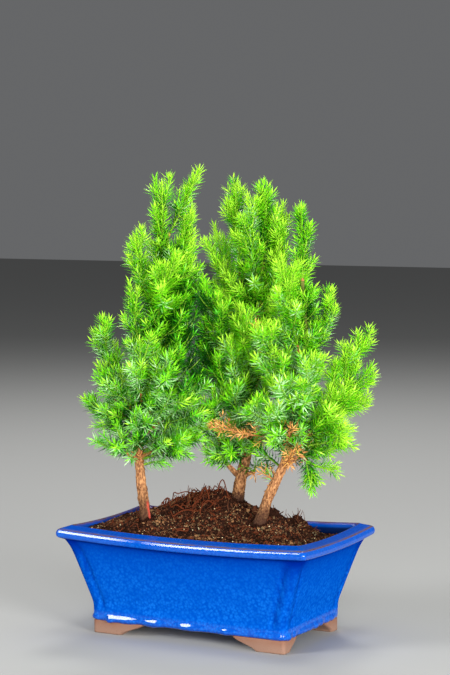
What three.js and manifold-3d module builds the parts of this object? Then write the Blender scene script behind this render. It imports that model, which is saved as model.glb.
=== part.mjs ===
// Juniper forest bonsai: three needle junipers planted as one group in a blue glazed tray pot.
// Millimetres, +Z up, +X along the pot's long side to the right, -Y towards the front.
// The origin is under the middle of the pot, on the table that its four feet stand on.
import * as THREE from "three";
import { mergeVertices } from "three/addons/utils/BufferGeometryUtils.js";
import Module from "manifold-3d";

const wasm = await Module();
wasm.setup();

// Driving dimensions

const CLEAR = 0.3; // gap between two pieces that meet
const LEAST = 0.25; // the least of that gap, at the flats of a many-sided limb
const DEGREE = Math.PI / 180;
const GOLDEN_ANGLE = 137.5 * DEGREE;
const SEED = 20;

const POT = {
  halfLength: 101.3, // at the widest line of the lip
  halfWidth: 61.8,
  height: 80, // at the lip's corners
  taperLength: 22.1, // how far the wall comes in from lip to base
  taperWidth: 15.1,
  flare: 0.22, // share of the taper that the wall sweeps through just under the lip
  flareLength: 5,
  wallTop: 70,
  wallFoot: 22, // where the wall meets the bead round the base
  beadSwell: 0.8,
  lipHeight: 4, // from the widest line up to the inner edge
  lipWidth: 10,
  lipCorner: 2.8,
  bodyCorner: 5,
  sagLong: 2.8, // how far the lip dips between its corners, on the long sides
  sagShort: 2,
  cornerSteps: 2,
  sideSteps: 4,
  wallRings: 5,
  wall: 7,
  floor: 18,
};

const FOOT = {
  height: 9.5,
  inset: 1.3, // in from the foot of the wall
  longTop: 42, // along the pot's long side, where the foot meets the body
  longBottom: 24,
  shortTop: 22,
  shortBottom: 11,
  corner: 2.5,
  rings: 5,
};

const SOIL = {
  edge: 75, // height against the wall
  rim: 11.6, // in from the widest line of the lip
  peak: 23, // rise of the mound under the middle tree
  peakX: -15,
  peakY: 23,
  spreadX: 47,
  spreadY: 30,
  knoll: 6.5, // rise under the left tree
  knollSpread: 22,
  seatDepth: 1.6, // how deep a trunk's flat foot sits
  seatMargin: 1.5,
  topRings: 6,
};

const LIMB = {
  sides: 10,
  rings: 10,
  boughSides: 6,
  boughRings: 5,
  boughTip: 0.6, // a bough's tip as a share of its root
  flare: 0.2, // how much wider a trunk's foot is, and how far up that reaches
  flareLength: 9,
  bendOut: 0.65, // a bough or stem bends at this share of its reach
  bendUp: 0.35, // and this share of its rise
  arch: 4, // lifted by this much
};

// Trunks: points from the foot to the tip, and radii just above the root flare and at the tip.
const TRUNKS = {
  trunk_left: {
    foot: 3.9,
    tip: 1.1,
    points: [[-47, -21, 0], [-51, -24, 128], [-49, -22, 171], [-43, -17, 223], [-33, -12, 292]],
  },
  trunk_middle: {
    foot: 4.4,
    tip: 1.2,
    points: [[4, 27, 0], [6, 28, 111], [10, 30, 130], [15, 32, 177], [22, 33, 270]],
  },
  trunk_right: {
    foot: 4,
    tip: 1.2,
    points: [[31, 7, 0], [40, 11, 106], [51, 15, 132], [57, 21, 165], [59, 27, 216], [56, 29, 259]],
  },
};

// Boughs and foliage masses are set out alike: the limb each leaves and where along it, 0 foot to 1 tip,
// the bearing it takes, 0 for +X and 90 for the back, how far out its tip reaches and how high it stands.
const BOUGHS = {
  bough_left_low: { limb: "trunk_left", at: 0.3, bearing: -145, reach: 17, top: 168, radius: 1.9 },
  bough_middle_fork: { limb: "trunk_middle", at: 0.1, bearing: -158, reach: 14, top: 126, radius: 2.3 },
  bough_middle_snag: { limb: "trunk_middle", at: 0.1, bearing: 20, reach: 11, top: 115, radius: 2.1 },
  bough_middle_second: { limb: "trunk_middle", at: 0.66, bearing: -160, reach: 13, top: 262, radius: 1.5 },
  bough_right_arm: { limb: "trunk_right", at: 0.32, bearing: 45, reach: 41, top: 174, radius: 2.6 },
  bough_right_droop: { limb: "trunk_right", at: 0.24, bearing: -12, reach: 17, top: 134, radius: 1.8 },
};

// girth is half the width of the mass, needles included.
const MASSES = {
  foliage_left_spire: { limb: "trunk_left", at: 1, bearing: 22, reach: 20, top: 341, girth: 7 },
  foliage_left_leader: { limb: "trunk_left", at: 0.86, bearing: -60, reach: 10, top: 335, girth: 9 },
  foliage_left_outer_upper: { limb: "trunk_left", at: 0.7, bearing: -105, reach: 20, top: 298, girth: 9 },
  foliage_left_inner_upper: { limb: "trunk_left", at: 0.77, bearing: 48, reach: 28, top: 314, girth: 9 },
  foliage_left_shoulder: { limb: "trunk_left", at: 0.62, bearing: -38, reach: 31, top: 277, girth: 11 },
  foliage_left_outer_mid: { limb: "trunk_left", at: 0.52, bearing: -95, reach: 22, top: 264, girth: 10 },
  foliage_left_inner_mid: { limb: "trunk_left", at: 0.5, bearing: 28, reach: 36, top: 281, girth: 10 },
  foliage_left_far: { limb: "bough_left_low", at: 1, bearing: -130, reach: 11, top: 238, girth: 10 },
  foliage_left_mid: { limb: "trunk_left", at: 0.36, bearing: -112, reach: 31, top: 198, girth: 12 },
  foliage_left_low: { limb: "trunk_left", at: 0.26, bearing: -155, reach: 38, top: 176, girth: 12 },
  foliage_left_skirt: { limb: "trunk_left", at: 0.22, bearing: -100, reach: 40, top: 148, girth: 12 },
  foliage_left_skirt_inner: { limb: "trunk_left", at: 0.23, bearing: 2, reach: 42, top: 150, girth: 12 },
  foliage_left_front: { limb: "trunk_left", at: 0.38, bearing: -62, reach: 37, top: 222, girth: 12 },
  foliage_left_front_inner: { limb: "trunk_left", at: 0.34, bearing: -25, reach: 42, top: 212, girth: 12 },
  foliage_left_inner_low: { limb: "trunk_left", at: 0.3, bearing: 14, reach: 48, top: 192, girth: 12 },
  foliage_left_back_low: { limb: "trunk_left", at: 0.36, bearing: 110, reach: 37, top: 230, girth: 12 },
  foliage_left_back_high: { limb: "trunk_left", at: 0.64, bearing: 102, reach: 24, top: 289, girth: 10 },
  foliage_middle_leader: { limb: "trunk_middle", at: 1, bearing: -25, reach: 6, top: 335, girth: 10 },
  foliage_middle_spire: { limb: "bough_middle_second", at: 1, bearing: -150, reach: 5, top: 333, girth: 9 },
  foliage_middle_peak: { limb: "trunk_middle", at: 0.83, bearing: -105, reach: 15, top: 326, girth: 9 },
  foliage_middle_right: { limb: "trunk_middle", at: 0.74, bearing: 20, reach: 18, top: 311, girth: 10 },
  foliage_middle_back_left: { limb: "trunk_middle", at: 0.6, bearing: 168, reach: 42, top: 304, girth: 9 },
  foliage_middle_inner: { limb: "trunk_middle", at: 0.45, bearing: -122, reach: 44, top: 264, girth: 12 },
  foliage_middle_left_mid: { limb: "trunk_middle", at: 0.37, bearing: -155, reach: 38, top: 226, girth: 12 },
  foliage_middle_front: { limb: "trunk_middle", at: 0.4, bearing: -80, reach: 30, top: 246, girth: 12 },
  foliage_middle_left_low: { limb: "bough_middle_fork", at: 1, bearing: -75, reach: 30, top: 186, girth: 13 },
  foliage_middle_skirt: { limb: "trunk_middle", at: 0.2, bearing: -112, reach: 34, top: 130, girth: 9 },
  foliage_middle_back_low: { limb: "trunk_middle", at: 0.27, bearing: 142, reach: 38, top: 214, girth: 12 },
  foliage_middle_back_high: { limb: "trunk_middle", at: 0.64, bearing: 118, reach: 26, top: 292, girth: 10 },
  foliage_right_spire: { limb: "trunk_right", at: 1, bearing: 180, reach: 1, top: 319, girth: 8 },
  foliage_right_outer_upper: { limb: "trunk_right", at: 0.6, bearing: 36, reach: 23, top: 258, girth: 10 },
  foliage_right_front_upper: { limb: "trunk_right", at: 0.66, bearing: -100, reach: 28, top: 283, girth: 11 },
  foliage_right_front_mid: { limb: "trunk_right", at: 0.48, bearing: -112, reach: 40, top: 234, girth: 12 },
  foliage_right_front_low: { limb: "trunk_right", at: 0.39, bearing: -40, reach: 34, top: 213, girth: 12 },
  foliage_right_front_inner: { limb: "trunk_right", at: 0.44, bearing: -78, reach: 32, top: 194, girth: 12 },
  foliage_right_inner_low: { limb: "trunk_right", at: 0.33, bearing: -115, reach: 36, top: 178, girth: 12 },
  foliage_right_arm_tip: { limb: "bough_right_arm", at: 1, bearing: 60, reach: 22, top: 224, girth: 12 },
  foliage_right_arm_inner: { limb: "bough_right_arm", at: 0.8, bearing: 120, reach: 8, top: 200, girth: 9 },
  foliage_right_outer_low: { limb: "bough_right_arm", at: 0.55, bearing: 36, reach: 32, top: 178, girth: 12 },
  foliage_right_mid: { limb: "trunk_right", at: 0.37, bearing: 8, reach: 44, top: 156, girth: 12 },
  foliage_right_droop: { limb: "bough_right_droop", at: 1, bearing: 30, reach: 13, top: 108, girth: 11 },
  foliage_right_skirt: { limb: "trunk_right", at: 0.28, bearing: 20, reach: 44, top: 143, girth: 10 },
  foliage_right_back_low: { limb: "trunk_right", at: 0.4, bearing: 98, reach: 38, top: 214, girth: 12 },
  foliage_right_back_high: { limb: "trunk_right", at: 0.68, bearing: 118, reach: 30, top: 289, girth: 10 },
};

const DEAD_TWIG = { limb: "trunk_right", at: 0.29, bearing: -137, reach: 62, top: 157, girth: 5 };

const SHOOT = {
  sides: 4, // needles stand in pairs, and the next pair stands across
  needleOut: 11.5, // a needle's tip from the shoot it grows on
  needleOn: 9.5, // and how far it points along the shoot
  shrink: 0.35, // how much shorter needles are at a shoot's tip
  bareTip: 4, // length of a shoot's tip without needles
  whorl: 6.6, // spacing of the pairs along a shoot
  stemRoot: 1.5, // radius of a mass's stem where it leaves its limb
  sideRoot: 1, // radius of a side shoot where it leaves the stem
  tip: 0.5,
  stemBare: 0.18, // share of a stem below its first needles
  sideBare: 0.3,
  first: 0.14, // side shoots leave the stem between these shares of its length
  last: 0.74,
  spacing: 26,
  length: 30,
  stray: 0.3, // how much the lengths of side shoots differ
  lift: 0.6, // how far side shoots turn upwards
  wide: 1.3, // share of a mass's girth that side shoots fill at its root
  narrow: 0.7, // and at its tip
  apart: 3.2, // a needle's least distance from other shoots
  between: 2.6, // and from their needles
};

const REACH = { x: 102.5, y: 71, low: 92 }; // furthest that foliage stands out, and its lowest point

// Materials

const finish = (color, roughness) => new THREE.MeshStandardMaterial({ color, roughness, metalness: 0 });
const FINISH = {
  glaze: finish("#0b57c9", 0.12),
  clay: finish("#c79a6b", 0.85),
  soil: finish("#3a2419", 0.95),
  bark: finish("#a06a42", 0.9),
  needles: finish("#57b02c", 0.55),
  deadNeedles: finish("#b5713a", 0.8),
};

// Solids

// A closed skin over rings of points, with a fan from the start point and another to the end point.
// Each four-cornered facet is split along its shorter diagonal, so that a needle stands on its core alone.
function loft(start, rings, end) {
  const count = rings[0].length;
  const points = [start, ...rings.flat(), end];
  const faces = [];
  for (let i = 0; i < count; i++) {
    const next = (i + 1) % count;
    faces.push(0, 1 + next, 1 + i);
    for (let ring = 0; ring + 1 < rings.length; ring++) {
      const low = 1 + ring * count;
      const high = low + count;
      const [a, b, c, d] = [low + i, low + next, high + next, high + i];
      const rising = points[a].distanceTo(points[c]) <= points[b].distanceTo(points[d]);
      faces.push(...(rising ? [a, b, c, a, c, d] : [a, b, d, b, c, d]));
    }
    const top = 1 + (rings.length - 1) * count;
    faces.push(top + i, top + next, points.length - 1);
  }
  return new THREE.BufferGeometry().setFromPoints(points).setIndex(faces);
}

function solidOf(geometry) {
  const plain = new THREE.BufferGeometry().setAttribute("position", geometry.getAttribute("position"));
  const merged = mergeVertices(plain.setIndex(geometry.getIndex()), 1e-4);
  const vertProperties = merged.getAttribute("position").array;
  return new wasm.Manifold(
    new wasm.Mesh({ numProp: 3, vertProperties, triVerts: new Uint32Array(merged.getIndex().array) }),
  );
}

function geometryOf(solid) {
  const { vertProperties, triVerts } = solid.getMesh();
  return new THREE.BufferGeometry()
    .setAttribute("position", new THREE.BufferAttribute(vertProperties, 3))
    .setIndex(new THREE.BufferAttribute(triVerts, 1));
}

// The largest body of a solid, without loose scraps and sealed hollows.
function mainBody(solid) {
  return solid.decompose().reduce((best, body) => (body.volume() > best.volume() ? body : best));
}

const bonsai = new THREE.Group();

function addPiece(name, geometry, material) {
  const mesh = new THREE.Mesh(geometry, material);
  mesh.name = name;
  bonsai.add(mesh);
}

// Pot, feet and soil

// Horizontal outline of the pot, anticlockwise, with rounded corners; its sides dip by a share of the lip's sag.
function potOutline(halfLength, halfWidth, corner, z, dip) {
  const { cornerSteps, sideSteps, sagLong, sagShort } = POT;
  const points = [];
  for (let quarter = 0; quarter < 4; quarter++) {
    const [sx, sy] = [[1, 1], [-1, 1], [-1, -1], [1, -1]][quarter];
    for (let step = 0; step <= cornerSteps; step++) {
      const angle = (quarter + step / cornerSteps) * 90 * DEGREE;
      const x = sx * (halfLength - corner) + corner * Math.cos(angle);
      points.push(new THREE.Vector3(x, sy * (halfWidth - corner) + corner * Math.sin(angle), z));
    }
  }
  const perCorner = cornerSteps + 1;
  const outline = points.flatMap((point, i) => {
    if (i % perCorner < cornerSteps) return [point];
    const next = points[(i + 1) % points.length];
    return Array.from({ length: sideSteps }, (_, step) => point.clone().lerp(next, step / sideSteps));
  });
  outline.forEach((point) => {
    const long = sagLong * (1 - (point.x / halfLength) ** 2);
    const short = sagShort * (1 - (point.y / halfWidth) ** 2);
    point.z -= dip * (long + short);
  });
  return outline;
}

// Share of the pot's taper at a height: 0 at the lip's widest line, 1 at the foot of the wall.
function taperAt(z) {
  const { height, lipHeight, wallFoot, flare, flareLength } = POT;
  const below = Math.max(height - lipHeight - z, 0);
  const straight = below / (height - lipHeight - wallFoot);
  return Math.min(flare * (1 - Math.exp(-below / flareLength)) + (1 - flare) * straight, 1);
}

// Outline of the wall at a height, moved in by an offset. The lip's dip fades out down the wall.
function wallRing(z, inset, corner) {
  const share = taperAt(z);
  const long = POT.halfLength - POT.taperLength * share - inset;
  const short = POT.halfWidth - POT.taperWidth * share - inset;
  const up = THREE.MathUtils.clamp((z - POT.wallFoot) / (POT.wallTop - POT.wallFoot), 0, 1);
  return potOutline(long, short, corner, z, up * up);
}

function lipRing(z, inset) {
  const { halfLength, halfWidth, lipCorner } = POT;
  return potOutline(halfLength - inset, halfWidth - inset, Math.max(lipCorner - inset / 4, 1.5), z, 1);
}

function makePot() {
  const { height, lipHeight, lipWidth, wallTop, wallFoot, wall, bodyCorner } = POT;
  const widest = height - lipHeight;
  const bead = (FOOT.height + wallFoot) / 2;
  const innerCorner = bodyCorner - 2;
  const rings = [
    wallRing(FOOT.height, 1.2, bodyCorner),
    wallRing(FOOT.height + 1.5, -0.2, bodyCorner),
    wallRing(bead, -POT.beadSwell, bodyCorner),
  ];
  for (let ring = 0; ring < POT.wallRings; ring++) {
    rings.push(wallRing(THREE.MathUtils.lerp(wallFoot, wallTop, ring / (POT.wallRings - 1)), 0, bodyCorner));
  }
  rings.push(
    lipRing(widest - 5, 2),
    lipRing(widest - 3.6, 0.3),
    lipRing(widest, 0),
    lipRing(widest + 1.7, 1.4),
    lipRing(height, lipWidth * 0.86),
    lipRing(height - 1.4, lipWidth),
    wallRing(wallTop, wall, innerCorner),
    wallRing(POT.floor, wall, innerCorner),
  );
  return loft(new THREE.Vector3(0, 0, FOOT.height), rings, new THREE.Vector3(0, 0, POT.floor));
}

// A foot under one corner: its outer faces stand upright and its free ends sweep in to the table in an ogee.
function makeFoot(signX, signY) {
  const outX = POT.halfLength - POT.taperLength - FOOT.inset;
  const outY = POT.halfWidth - POT.taperWidth - FOOT.inset;
  const rings = [];
  for (let ring = 0; ring < FOOT.rings; ring++) {
    const share = ring / (FOOT.rings - 1);
    const sweep = share * share * (3 - 2 * share);
    const long = THREE.MathUtils.lerp(FOOT.longBottom, FOOT.longTop, sweep) / 2;
    const short = THREE.MathUtils.lerp(FOOT.shortBottom, FOOT.shortTop, sweep) / 2;
    const centre = new THREE.Vector3(signX * (outX - long), signY * (outY - short), share * FOOT.height);
    const corners = [[1, 1], [-1, 1], [-1, -1], [1, -1]];
    rings.push(
      corners.flatMap(([sx, sy]) => {
        const cut = [[sx * long, sy * (short - FOOT.corner)], [sx * (long - FOOT.corner), sy * short]];
        const ordered = sx * sy > 0 ? cut : cut.reverse();
        return ordered.map(([x, y]) => new THREE.Vector3(x, y, 0).add(centre));
      }),
    );
  }
  const middle = (ring) => ring.reduce((sum, p) => sum.add(p), new THREE.Vector3()).divideScalar(ring.length);
  return loft(middle(rings[0]), rings, middle(rings[rings.length - 1]));
}

// Height of the soil: a mound under the middle tree and a knoll under the left one.
function soilHeight(x, y) {
  const [knollX, knollY] = TRUNKS.trunk_left.points[0];
  const mound = Math.exp(-(((x - SOIL.peakX) / SOIL.spreadX) ** 2) - ((y - SOIL.peakY) / SOIL.spreadY) ** 2);
  const knoll = Math.exp(-((x - knollX) ** 2 + (y - knollY) ** 2) / SOIL.knollSpread ** 2);
  return SOIL.edge + SOIL.peak * mound + SOIL.knoll * knoll;
}

// The heap of soil: it fills the pot to the wall, and its top rings close in on the mound's peak.
function soilHeap() {
  const inner = POT.bodyCorner - 2;
  const inset = POT.wall + CLEAR;
  const rings = [POT.floor + CLEAR, POT.wallTop].map((z) => wallRing(z, inset, inner));
  const rim = lipRing(SOIL.edge, SOIL.rim);
  const peak = new THREE.Vector3(SOIL.peakX, SOIL.peakY, soilHeight(SOIL.peakX, SOIL.peakY));
  for (let ring = 0; ring < SOIL.topRings; ring++) {
    const top = rim.map((p) => p.clone().lerp(peak, ring / SOIL.topRings));
    rings.push(top.map(({ x, y }) => new THREE.Vector3(x, y, soilHeight(x, y))));
  }
  return loft(new THREE.Vector3(0, 0, POT.floor + CLEAR), rings, peak);
}

const heap = soilHeap();

// Height of a trunk's flat foot, a little way into the ground.
function footHeight(name) {
  const [x, y] = TRUNKS[name].points[0];
  const down = new THREE.Raycaster(new THREE.Vector3(x, y, 2 * POT.height), new THREE.Vector3(0, 0, -1));
  return down.intersectObject(new THREE.Mesh(heap))[0].point.z - SOIL.seatDepth;
}

// The soil with a flat seat cut in it for each trunk.
function makeSoil() {
  const seats = Object.entries(TRUNKS).map(([name, trunk]) => {
    const radius = trunk.foot * (1 + LIMB.flare) + SOIL.seatMargin;
    const depth = 4 * SOIL.seatDepth;
    const seat = new THREE.CylinderGeometry(radius, radius, depth, 12).rotateX(90 * DEGREE);
    const [x, y] = trunk.points[0];
    return solidOf(seat.translate(x, y, footHeight(name) - CLEAR + depth / 2));
  });
  return geometryOf(mainBody(seats.reduce((whole, seat) => whole.subtract(seat), solidOf(heap))));
}

// Limbs

// Rings of points round a curve at shares of its length, square to the curve, of radius radiusAt(share).
// A flat foot keeps the first ring level.
function ringsRound(curve, sides, shares, radiusAt, flatFoot) {
  const first = curve.getTangentAt(0);
  const side = new THREE.Vector3(1, 0, 0).projectOnPlane(first);
  if (side.length() < 0.3) side.set(0, 1, 0);
  return shares.map((share) => {
    const level = flatFoot ? 1 - THREE.MathUtils.smoothstep(share, 0, 0.2) : 0;
    const tangent = curve.getTangentAt(share).lerp(new THREE.Vector3(0, 0, 1), level).normalize();
    side.projectOnPlane(tangent).normalize();
    const across = new THREE.Vector3().crossVectors(tangent, side);
    const centre = curve.getPointAt(share);
    return Array.from({ length: sides }, (_, i) => {
      const angle = (i / sides) * 360 * DEGREE;
      const out = side.clone().multiplyScalar(Math.cos(angle)).addScaledVector(across, Math.sin(angle));
      return centre.clone().addScaledVector(out, radiusAt(share));
    });
  });
}

// A tapering limb along a curve. grow thickens and lengthens it, for cutting a neighbour clear of it.
function limbGeometry({ curve, foot, tip, sides, count, flatFoot }, grow = 0) {
  const length = curve.getLength();
  const flare = flatFoot ? LIMB.flare : 0;
  const radiusAt = (share) => {
    const taper = THREE.MathUtils.lerp(foot, tip, share);
    return taper * (1 + flare * Math.exp((-share * length) / LIMB.flareLength)) + grow;
  };
  const shares = Array.from({ length: count }, (_, i) => i / (count - 1));
  const rings = ringsRound(curve, sides, shares, radiusAt, flatFoot);
  const ends = [curve.getPointAt(0), curve.getPointAt(1)];
  if (grow) {
    const back = curve.getTangentAt(0).multiplyScalar(-grow);
    const on = curve.getTangentAt(1).multiplyScalar(grow);
    rings.unshift(rings[0].map((p) => p.clone().add(back)));
    rings.push(rings[rings.length - 1].map((p) => p.clone().add(on)));
    ends[0].add(back);
    ends[1].add(on);
  }
  return loft(ends[0], rings, ends[1]);
}

// The curve by which a bough or a mass's stem leaves its limb: outwards first, then up or down to its tip.
function reachCurve({ limb, at, bearing, reach, top }) {
  const root = limbs[limb].curve.getPointAt(at);
  const out = new THREE.Vector3(reach, 0, 0).applyAxisAngle(new THREE.Vector3(0, 0, 1), bearing * DEGREE);
  const bendHeight = THREE.MathUtils.lerp(root.z, top, LIMB.bendUp) + LIMB.arch;
  const bend = root.clone().addScaledVector(out, LIMB.bendOut).setZ(bendHeight);
  const tip = root.clone().add(out).setZ(top);
  return new THREE.QuadraticBezierCurve3(root, bend, tip);
}

const limbs = {};

function addLimb(name, limb, parent) {
  let solid = solidOf(limbGeometry(limb));
  if (parent) solid = mainBody(solid.subtract(limbs[parent].grown));
  limbs[name] = { ...limb, solid, grown: solidOf(limbGeometry(limb, CLEAR)) };
  addPiece(name, geometryOf(solid), FINISH.bark);
}

function addTrunks() {
  for (const [name, { foot, tip, points }] of Object.entries(TRUNKS)) {
    const [[x, y], ...rest] = points;
    const path = [[x, y, footHeight(name)], ...rest].map((p) => new THREE.Vector3(...p));
    const curve = new THREE.CatmullRomCurve3(path);
    addLimb(name, { curve, foot, tip, sides: LIMB.sides, count: LIMB.rings, flatFoot: true });
  }
}

function addBoughs() {
  for (const [name, bough] of Object.entries(BOUGHS)) {
    const shape = { foot: bough.radius, tip: bough.radius * LIMB.boughTip, flatFoot: false };
    const mesh = { sides: LIMB.boughSides, count: LIMB.boughRings };
    addLimb(name, { curve: reachCurve(bough), ...shape, ...mesh }, bough.limb);
  }
}

// Foliage

// A seeded generator of numbers from 0 to 1, so that the plant is the same at every build.
function seeded(seed) {
  let state = seed >>> 0;
  return () => {
    state = (Math.imul(state, 1664525) + 1013904223) >>> 0;
    return state / 2 ** 32;
  };
}

// Whether a point lies within the crown's reach and clear of every limb.
function isFree(point) {
  const { x, y, z } = point;
  if (Math.abs(x) > REACH.x || Math.abs(y) > REACH.y || z < REACH.low) return false;
  return Object.values(limbs).every(({ samples, foot, tip }) =>
    samples.every((p, i) => {
      const radius = THREE.MathUtils.lerp(foot, tip, i / (samples.length - 1));
      return p.distanceTo(point) > radius + 1;
    }),
  );
}

// A shoot of a mass: a slim tapering core with needles standing out in pairs, each turned across the last.
// A needle that would leave the crown's reach, or come near a limb or another shoot, is left out.
function growShoot({ curve, root, bare }, others, needleShare) {
  const last = 1 - SHOOT.bareTip / curve.getLength();
  const whorls = Math.max(3, Math.round((curve.getLength() * (last - bare)) / SHOOT.whorl));
  const shares = [0];
  for (let i = 0; i <= whorls; i++) shares.push(THREE.MathUtils.lerp(bare, last, i / whorls));
  const radiusAt = (share) => THREE.MathUtils.lerp(root, SHOOT.tip, share);
  const rings = ringsRound(curve, SHOOT.sides, shares, radiusAt, false);
  const away = (points, from, distance) => points.every((p) => from.every((q) => p.distanceTo(q) > distance));
  const grown = [];
  for (let ring = 1; ring + 1 < shares.length; ring++) {
    const centre = curve.getPointAt(shares[ring]);
    const size = needleShare * (1 - SHOOT.shrink * shares[ring] ** 2);
    const ahead = curve.getTangentAt(shares[ring]).multiplyScalar(SHOOT.needleOn * size);
    for (let side = ring % 2; side < SHOOT.sides; side += 2) {
      const out = rings[ring][side].clone().sub(centre).setLength(SHOOT.needleOut * size);
      const along = (share) => centre.clone().addScaledVector(out, share).addScaledVector(ahead, share);
      const points = [along(0.5), along(0.75), along(1)];
      const clear = away(points, others, SHOOT.apart) && away(points, needles, SHOOT.between);
      if (clear && points.every(isFree)) {
        rings[ring][side] = points[2];
        grown.push(...points);
      }
    }
  }
  return { solid: solidOf(loft(curve.getPointAt(0), rings, curve.getPointAt(1))), grown };
}

// The curve of a side shoot: it leaves the stem at a share of its length, keeps to the girth and turns up.
function sideCurve(stem, share, turn, length, girth) {
  const root = stem.getPointAt(share);
  const ahead = stem.getTangentAt(share);
  const level = new THREE.Vector3(0, 0, 1).cross(ahead);
  const side = level.lengthSq() > 1e-6 ? level.normalize() : new THREE.Vector3(1, 0, 0);
  const across = new THREE.Vector3().crossVectors(ahead, side);
  const out = side.multiplyScalar(Math.cos(turn)).addScaledVector(across, Math.sin(turn));
  const spread = girth * THREE.MathUtils.lerp(SHOOT.wide, SHOOT.narrow, share);
  const slant = Math.min(spread / length, 0.8);
  const away = ahead.multiplyScalar(Math.sqrt(1 - slant * slant)).addScaledVector(out, slant);
  const turned = away.clone().add(new THREE.Vector3(0, 0, SHOOT.lift)).normalize();
  const bend = root.clone().addScaledVector(away, length / 2);
  return new THREE.QuadraticBezierCurve3(root, bend, bend.clone().addScaledVector(turned, length / 2));
}

// The shoots of a mass: its stem, then side shoots that leave it in turn by the golden angle.
function shootsOf(spec, random) {
  const stem = reachCurve(spec);
  const reach = stem.getLength();
  const { stemRoot, stemBare, sideRoot, sideBare } = SHOOT;
  const shoots = [{ curve: stem, root: stemRoot, bare: stemBare, samples: stem.getSpacedPoints(30) }];
  const count = Math.max(2, Math.round((reach * (SHOOT.last - SHOOT.first)) / SHOOT.spacing) + 1);
  const firstTurn = random() * 360 * DEGREE;
  for (let i = 0; i < count; i++) {
    const share = THREE.MathUtils.lerp(SHOOT.first, SHOOT.last, (i + 0.5 * random()) / count);
    const turn = firstTurn + i * GOLDEN_ANGLE + (random() - 0.5) * 0.5;
    const full = SHOOT.length * (1 + SHOOT.stray * (random() - 0.5));
    const length = Math.min(full, 5 + reach * (1 - share));
    const curve = sideCurve(stem, share, turn, length, spec.girth);
    shoots.push({ curve, root: sideRoot, bare: sideBare, samples: curve.getSpacedPoints(10) });
  }
  return shoots;
}

const masses = [];
const needles = []; // points along every needle that has grown

const isClearOf = (solid, owner) =>
  masses.every((mass) => mass === owner || !mass.solid || solid.minGap(mass.solid, LEAST) >= LEAST) &&
  Object.values(limbs).every((limb) => solid.minGap(limb.solid, LEAST) >= LEAST);

// Joins a shoot to its mass, with shorter needles where it must to stay clear of limbs and other masses.
// A shoot that still touches them is left out.
function joinShoot(mass, shoot) {
  const shoots = masses.flatMap((other) => other.shoots).filter((other) => other !== shoot);
  const others = shoots.flatMap(({ samples }) => samples);
  for (const needleShare of [1, 0.75, 0.5]) {
    const { solid, grown } = growShoot(shoot, others, needleShare);
    const cut = mainBody(solid.subtract(limbs[mass.spec.limb].grown));
    if (isClearOf(cut, mass)) {
      mass.solid = mass.solid ? mass.solid.add(cut) : cut;
      needles.push(...grown);
      return;
    }
  }
}

function addFoliage() {
  Object.values(limbs).forEach((limb) => (limb.samples = limb.curve.getSpacedPoints(40)));
  Object.entries({ ...MASSES, dead_twig: DEAD_TWIG }).forEach(([name, spec], i) => {
    masses.push({ name, spec, shoots: shootsOf(spec, seeded(SEED + i)) });
  });
  masses.forEach((mass) => joinShoot(mass, mass.shoots[0]));
  masses.forEach((mass) => mass.shoots.slice(1).forEach((shoot) => joinShoot(mass, shoot)));
  for (const { name, solid } of masses) {
    addPiece(name, geometryOf(mainBody(solid)), name === "dead_twig" ? FINISH.deadNeedles : FINISH.needles);
  }
}

// The whole bonsai

addPiece("pot", makePot(), FINISH.glaze);
for (const [side, signX] of [["left", -1], ["right", 1]]) {
  addPiece(`foot_front_${side}`, makeFoot(signX, -1), FINISH.clay);
  addPiece(`foot_back_${side}`, makeFoot(signX, 1), FINISH.clay);
}
addPiece("soil", makeSoil(), FINISH.soil);
addTrunks();
addBoughs();
addFoliage();

export default bonsai;
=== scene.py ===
"""Looks of the juniper forest bonsai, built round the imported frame.

Three young needle junipers stand in a flared pot with a cobalt glaze. Sizes are in millimetres in the
pot's own frame: +X along its long side, -Y towards the front, +Z up, the origin on the floor.
"""
import logging
from collections.abc import Callable
from dataclasses import dataclass, field
from enum import Enum
from functools import partial

import bpy
import numpy as np
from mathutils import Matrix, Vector


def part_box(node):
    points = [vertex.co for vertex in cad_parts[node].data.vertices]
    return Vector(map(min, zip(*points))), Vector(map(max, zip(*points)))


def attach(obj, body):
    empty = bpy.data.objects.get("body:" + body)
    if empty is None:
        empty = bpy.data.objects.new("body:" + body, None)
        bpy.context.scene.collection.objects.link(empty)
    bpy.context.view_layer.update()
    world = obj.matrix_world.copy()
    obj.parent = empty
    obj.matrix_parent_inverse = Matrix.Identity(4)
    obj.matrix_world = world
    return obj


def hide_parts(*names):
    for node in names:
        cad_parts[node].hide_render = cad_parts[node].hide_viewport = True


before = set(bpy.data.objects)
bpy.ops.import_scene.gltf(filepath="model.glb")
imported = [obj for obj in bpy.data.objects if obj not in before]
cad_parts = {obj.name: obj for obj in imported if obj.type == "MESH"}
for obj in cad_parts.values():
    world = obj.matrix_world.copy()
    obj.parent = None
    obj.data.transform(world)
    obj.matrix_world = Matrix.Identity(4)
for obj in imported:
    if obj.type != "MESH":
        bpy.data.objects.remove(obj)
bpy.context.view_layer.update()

BODY = "root"
TREE_SEED = 100
DEAD_SEED = 200
MM = 0.001  # metres in a millimetre
TURN = 2 * np.pi
GOLDEN_ANGLE = np.radians(137.5)
UP = np.array([0.0, 0.0, 1.0])
Array = np.ndarray
log = logging.getLogger("bonsai")


def srgb(hex_colour: str) -> tuple[float, float, float, float]:
    """Turns an sRGB colour to linear.

    Args:
        hex_colour: such as "#0045a4".

    Returns:
        Red, green, blue and an alpha of 1.
    """
    share = np.array([int(hex_colour[i : i + 2], 16) for i in (1, 3, 5)]) / 255
    linear = np.where(share <= 0.04045, share / 12.92, ((share + 0.055) / 1.055) ** 2.4)
    return (*map(float, linear), 1.0)


def per_mm(size: float) -> float:
    """Scale of a pattern on Object coordinates whose features are size millimetres across."""
    return 1 / (size * MM)


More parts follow.
